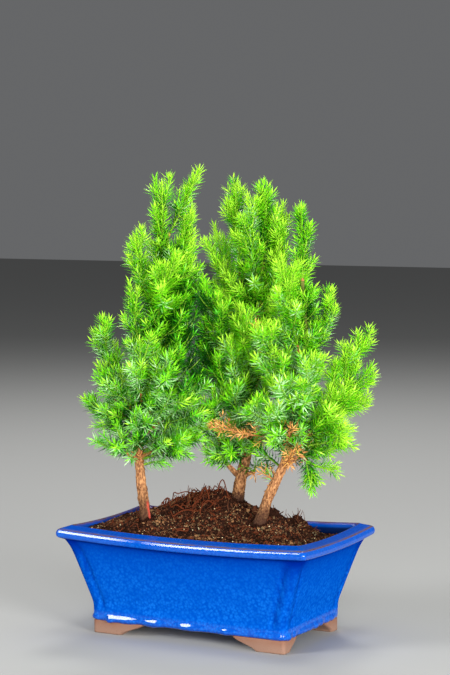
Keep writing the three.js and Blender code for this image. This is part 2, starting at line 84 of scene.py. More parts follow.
def plug(node: bpy.types.Node, inputs: dict) -> bpy.types.Node:
    """Sets a node's inputs.

    Args:
        node: the node.
        inputs: a value or another node's output for each input socket, by name or number.

    Returns:
        The same node.
    """
    for name, value in inputs.items():
        if isinstance(value, bpy.types.NodeSocket):
            node.id_data.links.new(value, node.inputs[name])
        else:
            node.inputs[name].default_value = value
    return node


def add_node(tree: bpy.types.NodeTree, kind: str, inputs: dict | None = None, **settings) -> bpy.types.Node:
    """Adds a node with its settings and links.

    Args:
        tree: the material's node tree.
        kind: the node's type, such as "TexNoise".
        inputs: a value or another node's output for each input socket, by name or number.
        settings: properties of the node itself.

    Returns:
        The new node.
    """
    node = tree.nodes.new(f"ShaderNode{kind}")
    for name, value in settings.items():
        setattr(node, name, value)
    return plug(node, inputs or {})


def new_material(name: str) -> tuple[bpy.types.Material, Callable, bpy.types.Node]:
    """Starts a material.

    Args:
        name: what the real material is.

    Returns:
        The material, a call that adds a node to it, and its main shader.
    """
    material = bpy.data.materials.new(name)
    material.use_nodes = True
    tree = material.node_tree
    return material, partial(add_node, tree), tree.nodes["Principled BSDF"]


@dataclass(frozen=True)
class CobaltGlaze:
    """Poured stoneware glaze: glassy cobalt with pale flecks, darker where it pools, brown where thin; shade
    under the lip and inside is painted.
    """

    body: str = "#0045a4"
    fleck: str = "#0b5fbe"
    # pooled glaze, and also the colour of the painted shade under the lip and of the painted dark reflection
    # on its top face
    pooled: str = "#001f7c"
    thin: str = "#62452f"
    inner_shade: str = "#05102e"  # painted shade on the inside wall, near black
    fleck_size: float = 2.1
    streak_size: float = 3.0
    ripple_size: float = 5.0
    cloud_size: float = 9.0
    warp_size: float = 2.5
    warp: float = 0.0016  # how far the flecks are pulled out of round
    ior: float = 1.5
    gloss: float = 0.08
    satin: float = 0.34  # roughness where the flecked wall gives no clear reflection

    def material(self) -> bpy.types.Material:
        """Builds the glaze from the pot's attributes: flecks, pooling, painted shade over darker glaze, thin
        edges, painted shade inside and sheen.

        Returns:
            The material.
        """
        material, add, shader = new_material("cobalt stoneware glaze")
        place = add("TexCoord").outputs["Object"]
        fleck, pool, deep, thin, inner_shade, sheen = (
            add("Attribute", attribute_name=name).outputs["Fac"]
            for name in ("fleck", "pool", "deep", "thin", "inner_shade", "sheen")
        )
        warp = add("TexNoise", {"Vector": place, "Scale": per_mm(self.warp_size), "Detail": 2.0})
        shifted = add("Mix", {"Factor": self.warp, 4: place, 5: warp.outputs["Color"]}, data_type="VECTOR")
        cells = add("TexVoronoi", {"Vector": shifted.outputs[1], "Scale": per_mm(self.fleck_size)})
        spots = add("MapRange", {"Value": cells.outputs["Distance"], "From Min": 0.72, "From Max": 0.22})
        cloud = add("TexNoise", {"Vector": place, "Scale": per_mm(self.cloud_size), "Detail": 4.0})
        patches = {"Value": cloud.outputs["Fac"], "From Min": 0.3, "From Max": 0.6, "To Min": 0.4}
        patch = add("MapRange", patches)
        drawn = add("Mapping", {"Vector": place, "Scale": (1.0, 1.0, 0.25)})
        runs = add("TexNoise", {"Vector": drawn.outputs[0], "Scale": per_mm(self.streak_size), "Detail": 4.0})
        drips = {"Value": runs.outputs["Fac"], "From Min": 0.4, "From Max": 0.62, "To Min": 0.05}
        streaks = add("MapRange", drips)
        flecked = add("Math", {0: spots.outputs[0], 1: fleck}, operation="MULTIPLY")
        mottled = add("Math", {0: flecked.outputs[0], 1: patch.outputs[0]}, operation="MULTIPLY")
        pooled = add("Math", {0: pool, 1: streaks.outputs[0]}, operation="MULTIPLY")
        worn = add("Math", {0: thin, 1: patch.outputs[0]}, operation="MULTIPLY")
        colour = srgb(self.body)
        layers = (
            (mottled.outputs[0], self.fleck), (pooled.outputs[0], self.pooled),
            # Of these, the first layer paints shade under the lip and a dark reflection on its top face, and
            # the last paints shade on the inside wall.
            (deep, self.pooled), (worn.outputs[0], self.thin), (inner_shade, self.inner_shade),
        )
        for share, tint in layers:
            mixed = add("Mix", {"Factor": share, 6: colour, 7: srgb(tint)}, data_type="RGBA")
            colour = mixed.outputs[2]
        ripple = add("TexNoise", {"Vector": place, "Scale": per_mm(self.ripple_size), "Detail": 1.0})
        bump = add("Bump", {"Height": ripple.outputs["Fac"], "Strength": 0.3, "Distance": 0.3 * MM})
        level = add("Math", {0: sheen, 1: 0.5}, operation="MULTIPLY")
        polish = {"Value": sheen, "From Max": 0.15, "To Min": self.satin, "To Max": self.gloss}
        tooth = add("MapRange", polish)
        plug(shader, {"Base Color": colour, "Normal": bump.outputs[0], "IOR": self.ior})
        plug(shader, {"Specular IOR Level": level.outputs[0], "Roughness": tooth.outputs[0]})
        return material


@dataclass(frozen=True)
class BareClay:
    """Unglazed fired clay: dry, sandy, flashed orange next to the glaze."""

    body: str = "#856452"
    flashed: str = "#76442a"
    grit: str = "#624530"
    grit_size: float = 0.9
    cloud_size: float = 7.0
    roughness: float = 0.8

    def material(self) -> bpy.types.Material:
        """Builds the clay from the feet's flash attribute.

        Returns:
            The material.
        """
        material, add, shader = new_material("bare stoneware clay")
        place = add("TexCoord").outputs["Object"]
        flash = add("Attribute", attribute_name="flash").outputs["Fac"]
        cloud = add("TexNoise", {"Vector": place, "Scale": per_mm(self.cloud_size), "Detail": 4.0})
        spread = add("Math", {0: flash, 1: cloud.outputs["Fac"]}, operation="MULTIPLY")
        grain = add("TexNoise", {"Vector": place, "Scale": per_mm(self.grit_size), "Detail": 5.0})
        specks = add("MapRange", {"Value": grain.outputs["Fac"], "From Min": 0.62, "From Max": 0.75})
        colour = srgb(self.body)
        for share, tint in ((spread, self.flashed), (specks, self.grit)):
            mixed = add("Mix", {"Factor": share.outputs[0], 6: colour, 7: srgb(tint)}, data_type="RGBA")
            colour = mixed.outputs[2]
        bump = add("Bump", {"Height": grain.outputs["Fac"], "Strength": 0.35, "Distance": 0.2 * MM})
        plug(shader, {"Base Color": colour, "Normal": bump.outputs[0], "Roughness": self.roughness})
        return material


@dataclass(frozen=True)
class JuniperBark:
    """Young juniper bark: thin tan plates over darker furrows, darker towards the foot."""

    plate: str = "#70452a"
    pale: str = "#c08a5a"
    furrow: str = "#45281a"
    darker_foot: str = "#2e1a14"
    fresh: str = "#cf4a3c"
    young: str = "#5f6f2a"
    flake_size: float = 1.5
    roughness: float = 0.85
    specular: float = 0.15

    def material(self) -> bpy.types.Material:
        """Builds the bark from the limbs' young, furrow, foot-darkening and streak attributes.

        Returns:
            The material.
        """
        material, add, shader = new_material("juniper bark")
        place = add("TexCoord").outputs["Object"]
        drawn = add("Mapping", {"Vector": place, "Scale": (1.0, 1.0, 0.6)})
        scale = per_mm(self.flake_size)
        flakes = add("TexNoise", {"Vector": drawn.outputs[0], "Scale": scale, "Detail": 6.0})
        light = add("MapRange", {"Value": flakes.outputs["Fac"], "From Min": 0.36, "From Max": 0.62})
        layers = [(light.outputs[0], self.pale)]
        dressed = {"young": self.young, "furrow": self.furrow, "darker_foot": self.darker_foot, "streak": self.fresh}
        for name, tint in dressed.items():
            layers.append((add("Attribute", attribute_name=name).outputs["Fac"], tint))
        colour = srgb(self.plate)
        for share, tint in layers:
            mixed = add("Mix", {"Factor": share, 6: colour, 7: srgb(tint)}, data_type="RGBA")
            colour = mixed.outputs[2]
        bump = add("Bump", {"Height": flakes.outputs["Fac"], "Strength": 0.9, "Distance": 0.5 * MM})
        plug(shader, {"Base Color": colour, "Normal": bump.outputs[0]})
        plug(shader, {"Roughness": self.roughness, "Specular IOR Level": self.specular})
        return material


@dataclass(frozen=True)
class MoistPeat:
    """Moist peat: near black between its crumbs, which is painted shade where the crumb bump lies low, warm
    brown on them, with no shine.
    """

    dark: str = "#140905"
    light: str = "#3a2014"
    crumb_size: float = 2.0
    roughness: float = 0.95
    specular: float = 0.06

    def material(self) -> bpy.types.Material:
        """Builds the peat as two browns mixed crumb by crumb, the darker one painted as shade in the low
        places.

        Returns:
            The material.
        """
        material, add, shader = new_material("moist peat")
        place = add("TexCoord").outputs["Object"]
        crumbs = add("TexNoise", {"Vector": place, "Scale": per_mm(self.crumb_size), "Detail": 6.0})
        # Painted shade: where the crumb bump lies low the peat turns near black.
        share = add("MapRange", {"Value": crumbs.outputs["Fac"], "From Min": 0.4, "From Max": 0.68})
        browns = {"Factor": share.outputs[0], 6: srgb(self.dark), 7: srgb(self.light)}
        mixed = add("Mix", browns, data_type="RGBA")
        bump = add("Bump", {"Height": crumbs.outputs["Fac"], "Strength": 0.8, "Distance": 0.8 * MM})
        plug(shader, {"Base Color": mixed.outputs[2], "Normal": bump.outputs[0]})
        plug(shader, {"Roughness": self.roughness, "Specular IOR Level": self.specular})
        return material


@dataclass(frozen=True)
class PlainTint:
    """A plain base colour for the many small things that are dealt out by colour."""

    name: str
    colour: str
    roughness: float = 0.5
    specular: float = 0.25

    def material(self) -> bpy.types.Material:
        """Builds the tint on the shader's own sockets.

        Returns:
            The material.
        """
        material, _, shader = new_material(self.name)
        plug(shader, {"Base Color": srgb(self.colour), "Roughness": self.roughness})
        plug(shader, {"Specular IOR Level": self.specular})
        return material


class NeedleTint(Enum):
    """Needle colours, from this year's tips to old and dead needles."""

    NEW = "#aae432"
    FRESH = "#78d012"
    LEAF = "#44a80c"
    # darkest green, dealt mostly as painted shade inside the crown, in the hollow and at the sprays' feet
    DEEP = "#0d5206"
    GLAUCOUS = "#84c765"
    SILVER = "#b8e2a4"
    DEAD = "#dca056"
    DRY = "#ae7038"


class SoilTint(Enum):
    """Colours of the crumbs, fibres and grains that lie on the peat."""

    PEAT = "#26130b"
    BROWN = "#533120"
    RUST = "#62301b"
    OLIVE = "#665339"
    TAN = "#876241"
    ROOT = "#5a2a17"
    PALE = "#d2c298"


@dataclass
class Surface:
    """Points in millimetres, faces as arrays of corner numbers, and values at the points by name."""

    points: Array
    faces: list[Array]
    values: dict[str, Array] = field(default_factory=dict)

    @property
    def triangles(self) -> int:
        """How many triangles the faces make."""
        return sum(len(block) * (block.shape[1] - 2) for block in self.faces)

    def piece(
        self, name: str, material: bpy.types.Material, slot: str, nodes: list[str], smooth: bool = True
    ) -> bpy.types.Object:
        """Puts the surface into the scene as a finished piece.

        Args:
            name: the piece's name.
            material: its finish.
            slot: the record's material slot that it would take its finish from; not used.
            nodes: the frame's nodes that it stands for.
            smooth: whether its faces are shaded as one curved surface.

        Returns:
            The new object, at the origin, riding on the bonsai's one body.
        """
        mesh = bpy.data.meshes.new(name)
        mesh.vertices.add(len(self.points))
        mesh.vertices.foreach_set("co", (self.points * MM).astype(np.float32).ravel())
        sizes = np.concatenate([np.full(len(block), block.shape[1]) for block in self.faces])
        corners = np.concatenate([block.ravel() for block in self.faces])
        mesh.loops.add(len(corners))
        mesh.loops.foreach_set("vertex_index", corners.astype(np.int32))
        mesh.polygons.add(len(sizes))
        mesh.polygons.foreach_set("loop_start", (np.cumsum(sizes) - sizes).astype(np.int32))
        mesh.polygons.foreach_set("use_smooth", np.full(len(sizes), smooth))
        for title, value in self.values.items():
            held = mesh.attributes.new(title, "FLOAT", "POINT").data
            held.foreach_set("value", value.astype(np.float32).ravel())
        mesh.update(calc_edges=True)
        mesh.materials.append(material)
        made = bpy.data.objects.new(name, mesh)
        bpy.context.scene.collection.objects.link(made)
        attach(made, BODY)
        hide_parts(*nodes)
        log.info("%s: %d triangles", name, self.triangles)
        return made


def lofted(rings: Array, start: Array, end: Array, values: dict[str, Array] | None = None) -> Surface:
    """A closed surface over rings of points that run anticlockwise.

    Each ring joins the next in quads, and fans close the first ring to start and the last to end.

    Args:
        rings: points by ring and place round it.
        start: the point under the first ring.
        end: the point over the last ring.
        values: values by ring and place round it, under their names.

    Returns:
        The surface, whose last two points are start and end.
    """
    count, sides = rings.shape[:2]
    ring, place = np.mgrid[0 : count - 1, 0:sides]
    here, beside = ring * sides + place, ring * sides + (place + 1) % sides
    quads = np.stack([here, beside, beside + sides, here + sides], axis=-1).reshape(-1, 4)
    foot, top = np.arange(sides), (count - 1) * sides + np.arange(sides)
    low, high = np.full(sides, count * sides), np.full(sides, count * sides + 1)
    fans = np.concatenate(
        [np.stack([low, np.roll(foot, -1), foot], axis=-1), np.stack([top, np.roll(top, -1), high], axis=-1)]
    )
    points = np.concatenate([rings.reshape(-1, 3), [start, end]])
    held = {
        name: np.concatenate([value.ravel(), [value[0].mean(), value[-1].mean()]])
        for name, value in (values or {}).items()
    }
    return Surface(points, [quads, fans], held)


def unit(vectors: Array) -> Array:
    """Vectors of length one along the given ones."""
    return vectors / np.maximum(np.linalg.norm(vectors, axis=-1, keepdims=True), 1e-9)


def lerp(first: Array | float, second: Array | float, share: Array | float) -> Array | float:
    """The value a share of the way from the first to the second."""
    return first + (second - first) * share


def smoothstep(value: Array, low: float, high: float) -> Array:
    """0 below low, 1 above high, and 3t² - 2t³ between."""
    share = np.clip((value - low) / (high - low), 0, 1)
    return share * share * (3 - 2 * share)


def waves(fields: list[Array], sizes: tuple[float, float], count: int, rng: np.random.Generator) -> Array:
    """A smooth random height from -1 to 1: the mean of sines along random directions of the fields.

    Args:
        fields: the coordinates, in millimetres.
        sizes: shortest and longest wave, in millimetres.
        count: how many waves.
        rng: where the directions, lengths and phases come from.

    Returns:
        A height at each point.
    """
    height = np.zeros_like(fields[0])
    for _ in range(count):
        heading = unit(rng.normal(size=len(fields)))
        pitch = TURN / rng.uniform(*sizes)
        height += np.sin(sum(h * f for h, f in zip(heading, fields)) * pitch + rng.uniform(0, TURN))
    return height / np.sqrt(count)


class Path:
    """A line through points that is read by share of its length."""

    def __init__(self, points: Array) -> None:
        """Measures the line.

        Args:
            points: what it passes through.
        """
        self.points = points
        steps = np.linalg.norm(np.diff(points, axis=0), axis=1)
        self.marks = np.concatenate([[0.0], np.cumsum(steps)])
        self.length = float(self.marks[-1])

    def at(self, share: Array | float) -> Array:
        """Points at shares of the length."""
        reach = np.asarray(share, float) * self.length
        return np.stack([np.interp(reach, self.marks, self.points[:, axis]) for axis in range(3)], axis=-1)

    def heading(self, share: Array | float) -> Array:
        """Directions along the line.

        Args:
            share: shares of its length.

        Returns:
            Directions of length one.
        """
        step = 0.004
        near = np.clip(np.asarray(share, float), step, 1 - step)
        return unit(self.at(near + step) - self.at(near - step))


def through(points: Array, steps: int = 40) -> Path:
    """A centripetal Catmull-Rom line: cubics whose knots are spaced by the root of the distance.

    Args:
        points: what it passes through.
        steps: points worked out for each stretch.

    Returns:
        The line.
    """
    padded = np.concatenate([[2 * points[0] - points[1]], points, [2 * points[-1] - points[-2]]])
    gaps = np.sqrt(np.linalg.norm(np.diff(padded, axis=0), axis=1))
    share = np.linspace(0, 1, steps, endpoint=False)[:, None]
    pieces = []
    for i in range(1, len(padded) - 2):
        before, here, there, after = padded[i - 1 : i + 3]
        g0, g1, g2 = gaps[i - 1 : i + 2]
        leave = g1 * ((here - before) / g0 - (there - before) / (g0 + g1) + (there - here) / g1)
        enter = g1 * ((there - here) / g1 - (after - here) / (g1 + g2) + (after - there) / g2)
        square = -3 * here + 3 * there - 2 * leave - enter
        cube = 2 * here - 2 * there + leave + enter
        pieces.append(here + leave * share + square * share**2 + cube * share**3)
    return Path(np.concatenate([*pieces, points[-1:]]))


def bow(root: Array, bend: Array, tip: Array, share: Array) -> Array:
    """Points of a quadratic bow: (1-t)² root + 2t(1-t) bend + t² tip."""
    return (1 - share) ** 2 * root + 2 * share * (1 - share) * bend + share**2 * tip


def bow_heading(root: Array, bend: Array, tip: Array, share: Array) -> Array:
    """Directions of a quadratic bow: along (1-t)(bend - root) + t(tip - bend)."""
    return unit((1 - share) * (bend - root) + share * (tip - bend))


def square_to(heading: Array) -> tuple[Array, Array]:
    """Two directions square to a heading and to each other.

    Args:
        heading: directions of length one.

    Returns:
        A level one, and the one square to both.
    """
    level = np.cross(UP, heading)
    flat = np.linalg.norm(level, axis=-1, keepdims=True) < 1e-3
    side = unit(np.where(flat, np.array([1.0, 0.0, 0.0]), level))
    return side, np.cross(heading, side)


def compass(turn: Array) -> Array:
    """Level directions at angles from +X towards +Y."""
    return np.stack([np.cos(turn), np.sin(turn)], axis=-1)


def around(heading: Array, turn: Array) -> Array:
    """Directions square to headings, at angles round them."""
    side, across = square_to(heading)
    return side * np.cos(turn)[:, None] + across * np.sin(turn)[:, None]


def bell(value: Array, middle: float, half: float) -> Array:
    """1 at the middle, falling by exp(-((value - middle) / half)²)."""
    return np.exp(-(((value - middle) / half) ** 2))


def shared_out(counts: Array) -> tuple[Array, Array]:
    """Numbers off lots of things.

    Args:
        counts: how many things each owner has.

    Returns:
        The owner of each thing, and its rank among that owner's.
    """
    owner = np.repeat(np.arange(len(counts)), counts)
    return owner, np.arange(len(owner)) - np.repeat(np.cumsum(counts) - counts, counts)


def repeated(points: Array, *blocks: Array) -> Surface:
    """Many copies of one form as one surface.

    Args:
        points: points by copy and corner.
        blocks: faces of one copy, as arrays of corner numbers.

    Returns:
        The copies, joined.
    """
    shift = points.shape[1] * np.arange(len(points))[:, None, None]
    return Surface(points.reshape(-1, 3), [(block + shift).reshape(-1, block.shape[1]) for block in blocks])


@dataclass(frozen=True)
class PotShape:
    """Sizes of the pot, and its outline at any height."""

    half_length: float = 101.3
    half_width: float = 61.8
    height: float = 80.0
    taper_length: float = 22.1
    taper_width: float = 15.1
    flare: float = 0.22  # share of the taper that the wall sweeps through just under the lip
    flare_length: float = 5.0
    base: float = 9.5
    wall_foot: float = 22.0
    wall_top: float = 70.0
    widest: float = 76.0
    lip_width: float = 10.0
    wall: float = 7.0
    floor: float = 18.0
    corner: float = 5.0
    lip_corner: float = 2.8
    groove: float = 0.7
    groove_offset: float = 5.0
    groove_half: float = 4.0
    sag_long: float = 2.8  # how far the lip dips between its corners
    sag_short: float = 2.0

    def taper(self, z: Array) -> Array:
        """Share of the wall's taper: flare (1 - exp(-d / flare_length)) + (1 - flare) d / drop, at most 1.

        Args:
            z: heights.

        Returns:
            The share at each height, with d the distance below the widest line.
        """
        below = np.maximum(self.widest - z, 0)
        quick = self.flare * (1 - np.exp(-below / self.flare_length))
        share = quick + (1 - self.flare) * below / (self.widest - self.wall_foot)
        soft = 0.02
        return -soft * np.logaddexp(-share / soft, -1 / soft)

    def stations(self) -> tuple[Array, Array, Array, Array]:
        """Stations round one corner of the outline, from the groove before it to the groove after.

        Returns:
            Angle, place along the side, groove share and corner share of each station.
        """
        along = np.linspace(-self.groove_offset - 1.6 * self.groove_half, 0, 12)[:-1]
        turn = np.linspace(0, np.pi / 2, 9)
        angle = np.concatenate([np.zeros(len(along)), turn, np.full(len(along), np.pi / 2)])
        offset = np.concatenate([along, np.zeros(len(turn)), -along[::-1]])
        away = np.clip((np.abs(offset) - self.groove_offset) / self.groove_half, -1, 1)
        return angle, offset, 0.5 + 0.5 * np.cos(np.pi * away), 1 - smoothstep(np.abs(offset), 0, 14.0)

    def outlines(self, z: Array, inset: Array, corner: Array, groove: Array) -> tuple[Array, Array, Array]:
        """Outlines of the pot, anticlockwise: rounded corners, each between two grooves, and straight sides.

        Args:
            z: height of each outline.
            inset: how far it lies in from the widest line, by outline and axis.
            corner: radius of its corners.
            groove: depth of its grooves.

        Returns:
            Points by outline and place, and the groove and corner shares at the places.
        """
        angle, offset, dip, near = self.stations()
        half = np.array([self.half_length, self.half_width]) - inset
        radius = corner[:, None] - groove[:, None] * dip
        quarters = []
        for quarter, signs in enumerate(([1, 1], [-1, 1], [-1, -1], [1, -1])):
            turn = angle + quarter * np.pi / 2
            normal = compass(turn)
            edge = np.stack([-np.sin(turn), np.cos(turn)], axis=-1) * offset[:, None]
            centre = np.array(signs) * (half - corner[:, None])
            quarters.append(centre[:, None] + radius[..., None] * normal + edge)
        share = np.linspace(0, 1, 26)[1:-1, None]
        parts, dips, nears = [], [], []
        for quarter, points in enumerate(quarters):
            following = quarters[(quarter + 1) % 4]
            parts += [points, lerp(points[:, -1:], following[:, :1], share)]
            dips += [dip, np.zeros(len(share))]
            nears += [near, np.zeros(len(share))]
        flat = np.concatenate(parts, axis=1)
        up = np.clip((z - self.wall_foot) / (self.wall_top - self.wall_foot), 0, 1) ** 2
        sag = (1 - (flat / half[:, None]) ** 2) @ [self.sag_long, self.sag_short]
        heights = (z[:, None] - up[:, None] * sag)[..., None]
        return np.concatenate([flat, heights], axis=-1), np.concatenate(dips), np.concatenate(nears)


@dataclass
class GlazedPot:
    """The pot: flared walls with grooved corners, a rolled lip and a bead round the base."""

    shape: PotShape = field(default_factory=PotShape)
    finish: CobaltGlaze = field(default_factory=CobaltGlaze)
    roll: float = 1.6  # how thick the glaze gathers along its lower edge
    run: float = 0.8  # how far it runs down there
    drip: tuple[float, float] = (-64.0, -47.0)
    drip_size: float = 2.4
    dull: float = -32.0  # where the front lip's shine breaks off
    dull_half: float = 15.0
    roll_height: float = 2.4  # above the base
    roll_half: float = 2.1
    rim_edge: float = 77.5  # height of the lip's outer edge, where the glaze is thin
    rim_inset: float = 9.2  # inset of its inner edge
    lip_foot: float = 71.6  # where the lip starts
    deepest: float = 60.0  # how far down from the lip the shade under it is worked out
    seed: int = 7

    def profile(self) -> tuple[Array, Array]:
        """The line from the base up the outside, over the lip and down the inside.

        The base is rounded under, the wall follows the taper, and the lip is a smooth line through points.

        Returns:
            Height and insets along the line.
        """
        s = self.shape
        bend = s.base + 6.5
        low_z = s.base + 6.5 * np.linspace(0, 1, 14) ** 1.6
        wall_z = np.concatenate([low_z, np.linspace(bend, s.wall_top, 34)[1:]])
        under = 1.8 * np.clip(1 - (wall_z - s.base) / 3.5, 0, 1) ** 5
        lip = np.array(
            [
                [70.9, 2.2], [71.5, 1.0], [72.4, 0.3], [74.2, 0.0], [75.2, 0.15], [76.4, 0.6], [77.2, 1.1],
                [77.8, 2.2], [78.6, 4.6], [79.5, 7.2], [s.height, 8.6], [79.5, 9.5],
                [78.4, s.lip_width], [75.5, 10.5],
            ]
        )
        line = through(np.column_stack([lip, np.zeros(len(lip))]), 4).points
        inner_z = np.array([s.wall_top, 0.5 * (s.wall_top + s.floor), s.floor])
        z = np.concatenate([wall_z, line[:, 0], inner_z])
        walls = np.concatenate([under, 0 * line[:, 1], np.full(len(inner_z), s.wall)])
        inset = s.taper(z)[:, None] * [s.taper_length, s.taper_width] + walls[:, None]
        inset[len(wall_z) : -len(inner_z)] = line[:, 1:2]
        return z, inset

    def gather(self, points: Array, z: Array, outer: Array) -> None:
        """Lets the glaze gather and run along its lower edge, in lumps and one drip.

        Args:
            points: the pot's points by outline and place, which it moves.
            z: height of each outline.
            outer: whether it is on the outside.
        """
        edge = np.roll(points, -1, axis=1)[..., :2] - np.roll(points, 1, axis=1)[..., :2]
        out = unit(np.stack([edge[..., 1], -edge[..., 0]], axis=-1))
        lumps = waves([points[..., 0], points[..., 1]], (8.0, 40.0), 12, np.random.default_rng(self.seed))
        outside = outer[:, None]
        above = (z - self.shape.base)[:, None]
        away = np.hypot(points[..., 0] - self.drip[0], points[..., 1] - self.drip[1])
        drop = bell(away, 0.0, self.drip_size) * (1 - smoothstep(above, 1.0, 6.0)) * outside
        gathered = np.clip(0.6 + 0.6 * lumps, 0, 2)
        thick = self.roll * bell(above, self.roll_height, self.roll_half) * gathered * outside
        low = (1 - smoothstep(above, 0.0, 5.0)) * outside
        points[..., :2] += out * (thick + 1.3 * drop)[..., None]
        points[..., 2] -= low * (self.run * np.clip(lumps + 0.2, 0, 2) + 1.6 * drop)

    def shade_and_depth(self, z: Array, outer: Array, near: Array) -> Array:
        """Painted shade under the lip and in the corners beneath it, over glaze that is darker there, and a
        painted dark reflection on the lip's top face.

        Args:
            z: height of each outline.
            outer: whether it is on the outside.
            near: how near each place is to a corner.

        Returns:
            A share by outline and place.
        """
        down = np.clip(self.shape.wall_top + 1.0 - z, 0, self.deepest)
        below_lip = z < self.lip_foot
        # Painted shadow under the lip, over partly darker glaze, fading downwards.
        under_lip_shade = (0.6 * np.exp(-down / 4) + 0.5 * np.exp(-down / 20)) * below_lip * outer
        # Painted shade in the corners just under the lip.
        corner_shade = near * (np.exp(-down / 9) * below_lip * outer)[:, None]
        # Painted dark reflection on the lip's top face.
        top_reflection = smoothstep(z, 77.7, 78.4)
        return np.clip((0.85 * under_lip_shade + 0.3 * top_reflection)[:, None] + 0.7 * corner_shade, 0, 1)

    def sheen(self, points: Array, z: Array) -> Array:
        """How bright the glaze shines: on the lip and the roll at the foot, less on the lip's top face.

        Args:
            points: the pot's points by outline and place.
            z: height of each outline.

        Returns:
            A share by outline and place, broken off where the front lip is dull.
        """
        base = self.shape.base
        bright = np.maximum(smoothstep(z, 71.0, 73.0), 0.9 * (1 - smoothstep(z, base + 5, base + 8)))
        dull = bell(points[..., 0], self.dull, self.dull_half) * (points[..., 1] < 0)
        bright = bright[:, None] * (1 - 0.985 * dull * smoothstep(z, 70.0, 73.0)[:, None])
        return bright * (1 - 0.75 * smoothstep(z, 77.7, 78.4))[:, None]

    def build(self) -> bpy.types.Object:
        """Carries the pot's outline up its profile, lets the glaze gather at the foot, and dresses it.

        Returns:
            The pot.
        """
        s = self.shape
        z, inset = self.profile()
        outer = np.arange(len(z)) <= np.argmax(z)
        below_lip = 1 - smoothstep(z, s.wall_top - 9, s.wall_top)
        on_wall = outer * smoothstep(z, s.base + 4, s.base + 14) * below_lip
        lipped = smoothstep(z, s.wall_top - 8, s.wall_top + 1) * outer + 0.5 * ~outer
        corner = lerp(s.corner, s.lip_corner, lipped)
        points, dip, near = s.outlines(z, inset, corner, s.groove * on_wall)
        self.gather(points, z, outer)
        every = np.ones(points.shape[:2])
        pool = (0.3 * dip + 0.42 * near) * on_wall[:, None]
        pool += 0.7 * bell((z - s.base)[:, None], 0.5, 1.2) * outer[:, None]
        rims = bell(z, self.rim_edge, 0.4) * outer + bell(inset[:, 0], self.rim_inset, 0.6) * (z > 78)
        # Painted shade: the inside wall below the lip, down to the soil, is darkened to near black.
        inner = ~outer * smoothstep(-z, -77.5, -75.0)
        values = {
            "fleck": (outer * lerp(1.0, 0.45, smoothstep(z, 25.0, 70.0)))[:, None] * every,
            "pool": np.clip(pool, 0, 1) * every,
            "deep": self.shade_and_depth(z, outer, near),
            "thin": rims[:, None] * every,
            "inner_shade": 0.95 * inner[:, None] * every,
            "sheen": self.sheen(points, z),
        }
        surface = lofted(points, np.array([0, 0, s.base]), np.array([0, 0, s.floor]), values)
        return surface.piece("glazed_pot", self.finish.material(), "glaze", ["pot"])


@dataclass
class ClayFeet:
    """Four bare clay feet under the pot's corners, their free ends swept in to the floor in an ogee."""

    shape: PotShape = field(default_factory=PotShape)
    finish: BareClay = field(default_factory=BareClay)
    inset: float = 0.9
    long_top: float = 42.0
    long_bottom: float = 24.0
    short_top: float = 22.0
    short_bottom: float = 11.0
    corner: float = 2.5
    bevel: float = 0.7

    def foot(self, sign_x: int, sign_y: int) -> Surface:
        """One foot: a rounded rectangle whose two inner sides follow 3t² - 2t³ from the floor to the pot.

        Args:
            sign_x: 1 at the pot's right end, -1 at its left.
            sign_y: 1 at the back, -1 at the front.

        Returns:
            The foot, closed.
        """
        s = self.shape
        outer = np.array([s.half_length - s.taper_length, s.half_width - s.taper_width]) - self.inset
        share = np.concatenate([[0, 0.0], np.linspace(0.06, 1, 15)])
        trim = np.concatenate([[self.bevel, 0.35 * self.bevel], np.zeros(15)])
        z = np.concatenate([[0, 0.25], np.linspace(0.06, 1, 15) * s.base])
        sweep = smoothstep(share, 0, 1)
        lengths = lerp(self.long_bottom, self.long_top, sweep)
        size = np.stack([lengths, lerp(self.short_bottom, self.short_top, sweep)])
        half = size.T / 2 - trim[:, None]
        centre = np.array([sign_x, sign_y]) * (outer - size.T / 2)
        turn = np.concatenate([np.linspace(0, np.pi / 2, 7) + quarter * np.pi / 2 for quarter in range(4)])
        signs = np.repeat([[1, 1], [-1, 1], [-1, -1], [1, -1]], 7, axis=0)
        arc = compass(turn) * self.corner
        flat = centre[:, None] + signs * (half - self.corner)[:, None] + arc
        rings = np.concatenate([flat, np.broadcast_to(z[:, None, None], (*flat.shape[:2], 1))], axis=-1)
        flash = smoothstep(z, 0.3 * s.base, s.base)[:, None] * np.ones(len(turn))
        return lofted(rings, np.array([*centre[0], 0.0]), np.array([*centre[-1], s.base]), {"flash": flash})

    def build(self) -> None:
        """Makes the four feet."""
        clay = self.finish.material()
        for across, sign_y in (("front", -1), ("back", 1)):
            for side, sign_x in (("left", -1), ("right", 1)):
                node = f"foot_{across}_{side}"
                self.foot(sign_x, sign_y).piece(f"clay_{node}", clay, "clay", [node])


@dataclass(frozen=True)
class LimbShape:
    """A trunk or bough: its line, its radii and how its foot flares."""

    name: str
    path: Path
    foot: float
    tip: float
    flare: float = 0.0
    flare_length: float = 9.0

    def radius(self, share: Array) -> Array:
        """Even taper, wider at the foot by flare times exp(-height / flare_length)."""
        taper = lerp(self.foot, self.tip, share)
        return taper * (1 + self.flare * np.exp(-share * self.path.length / self.flare_length))


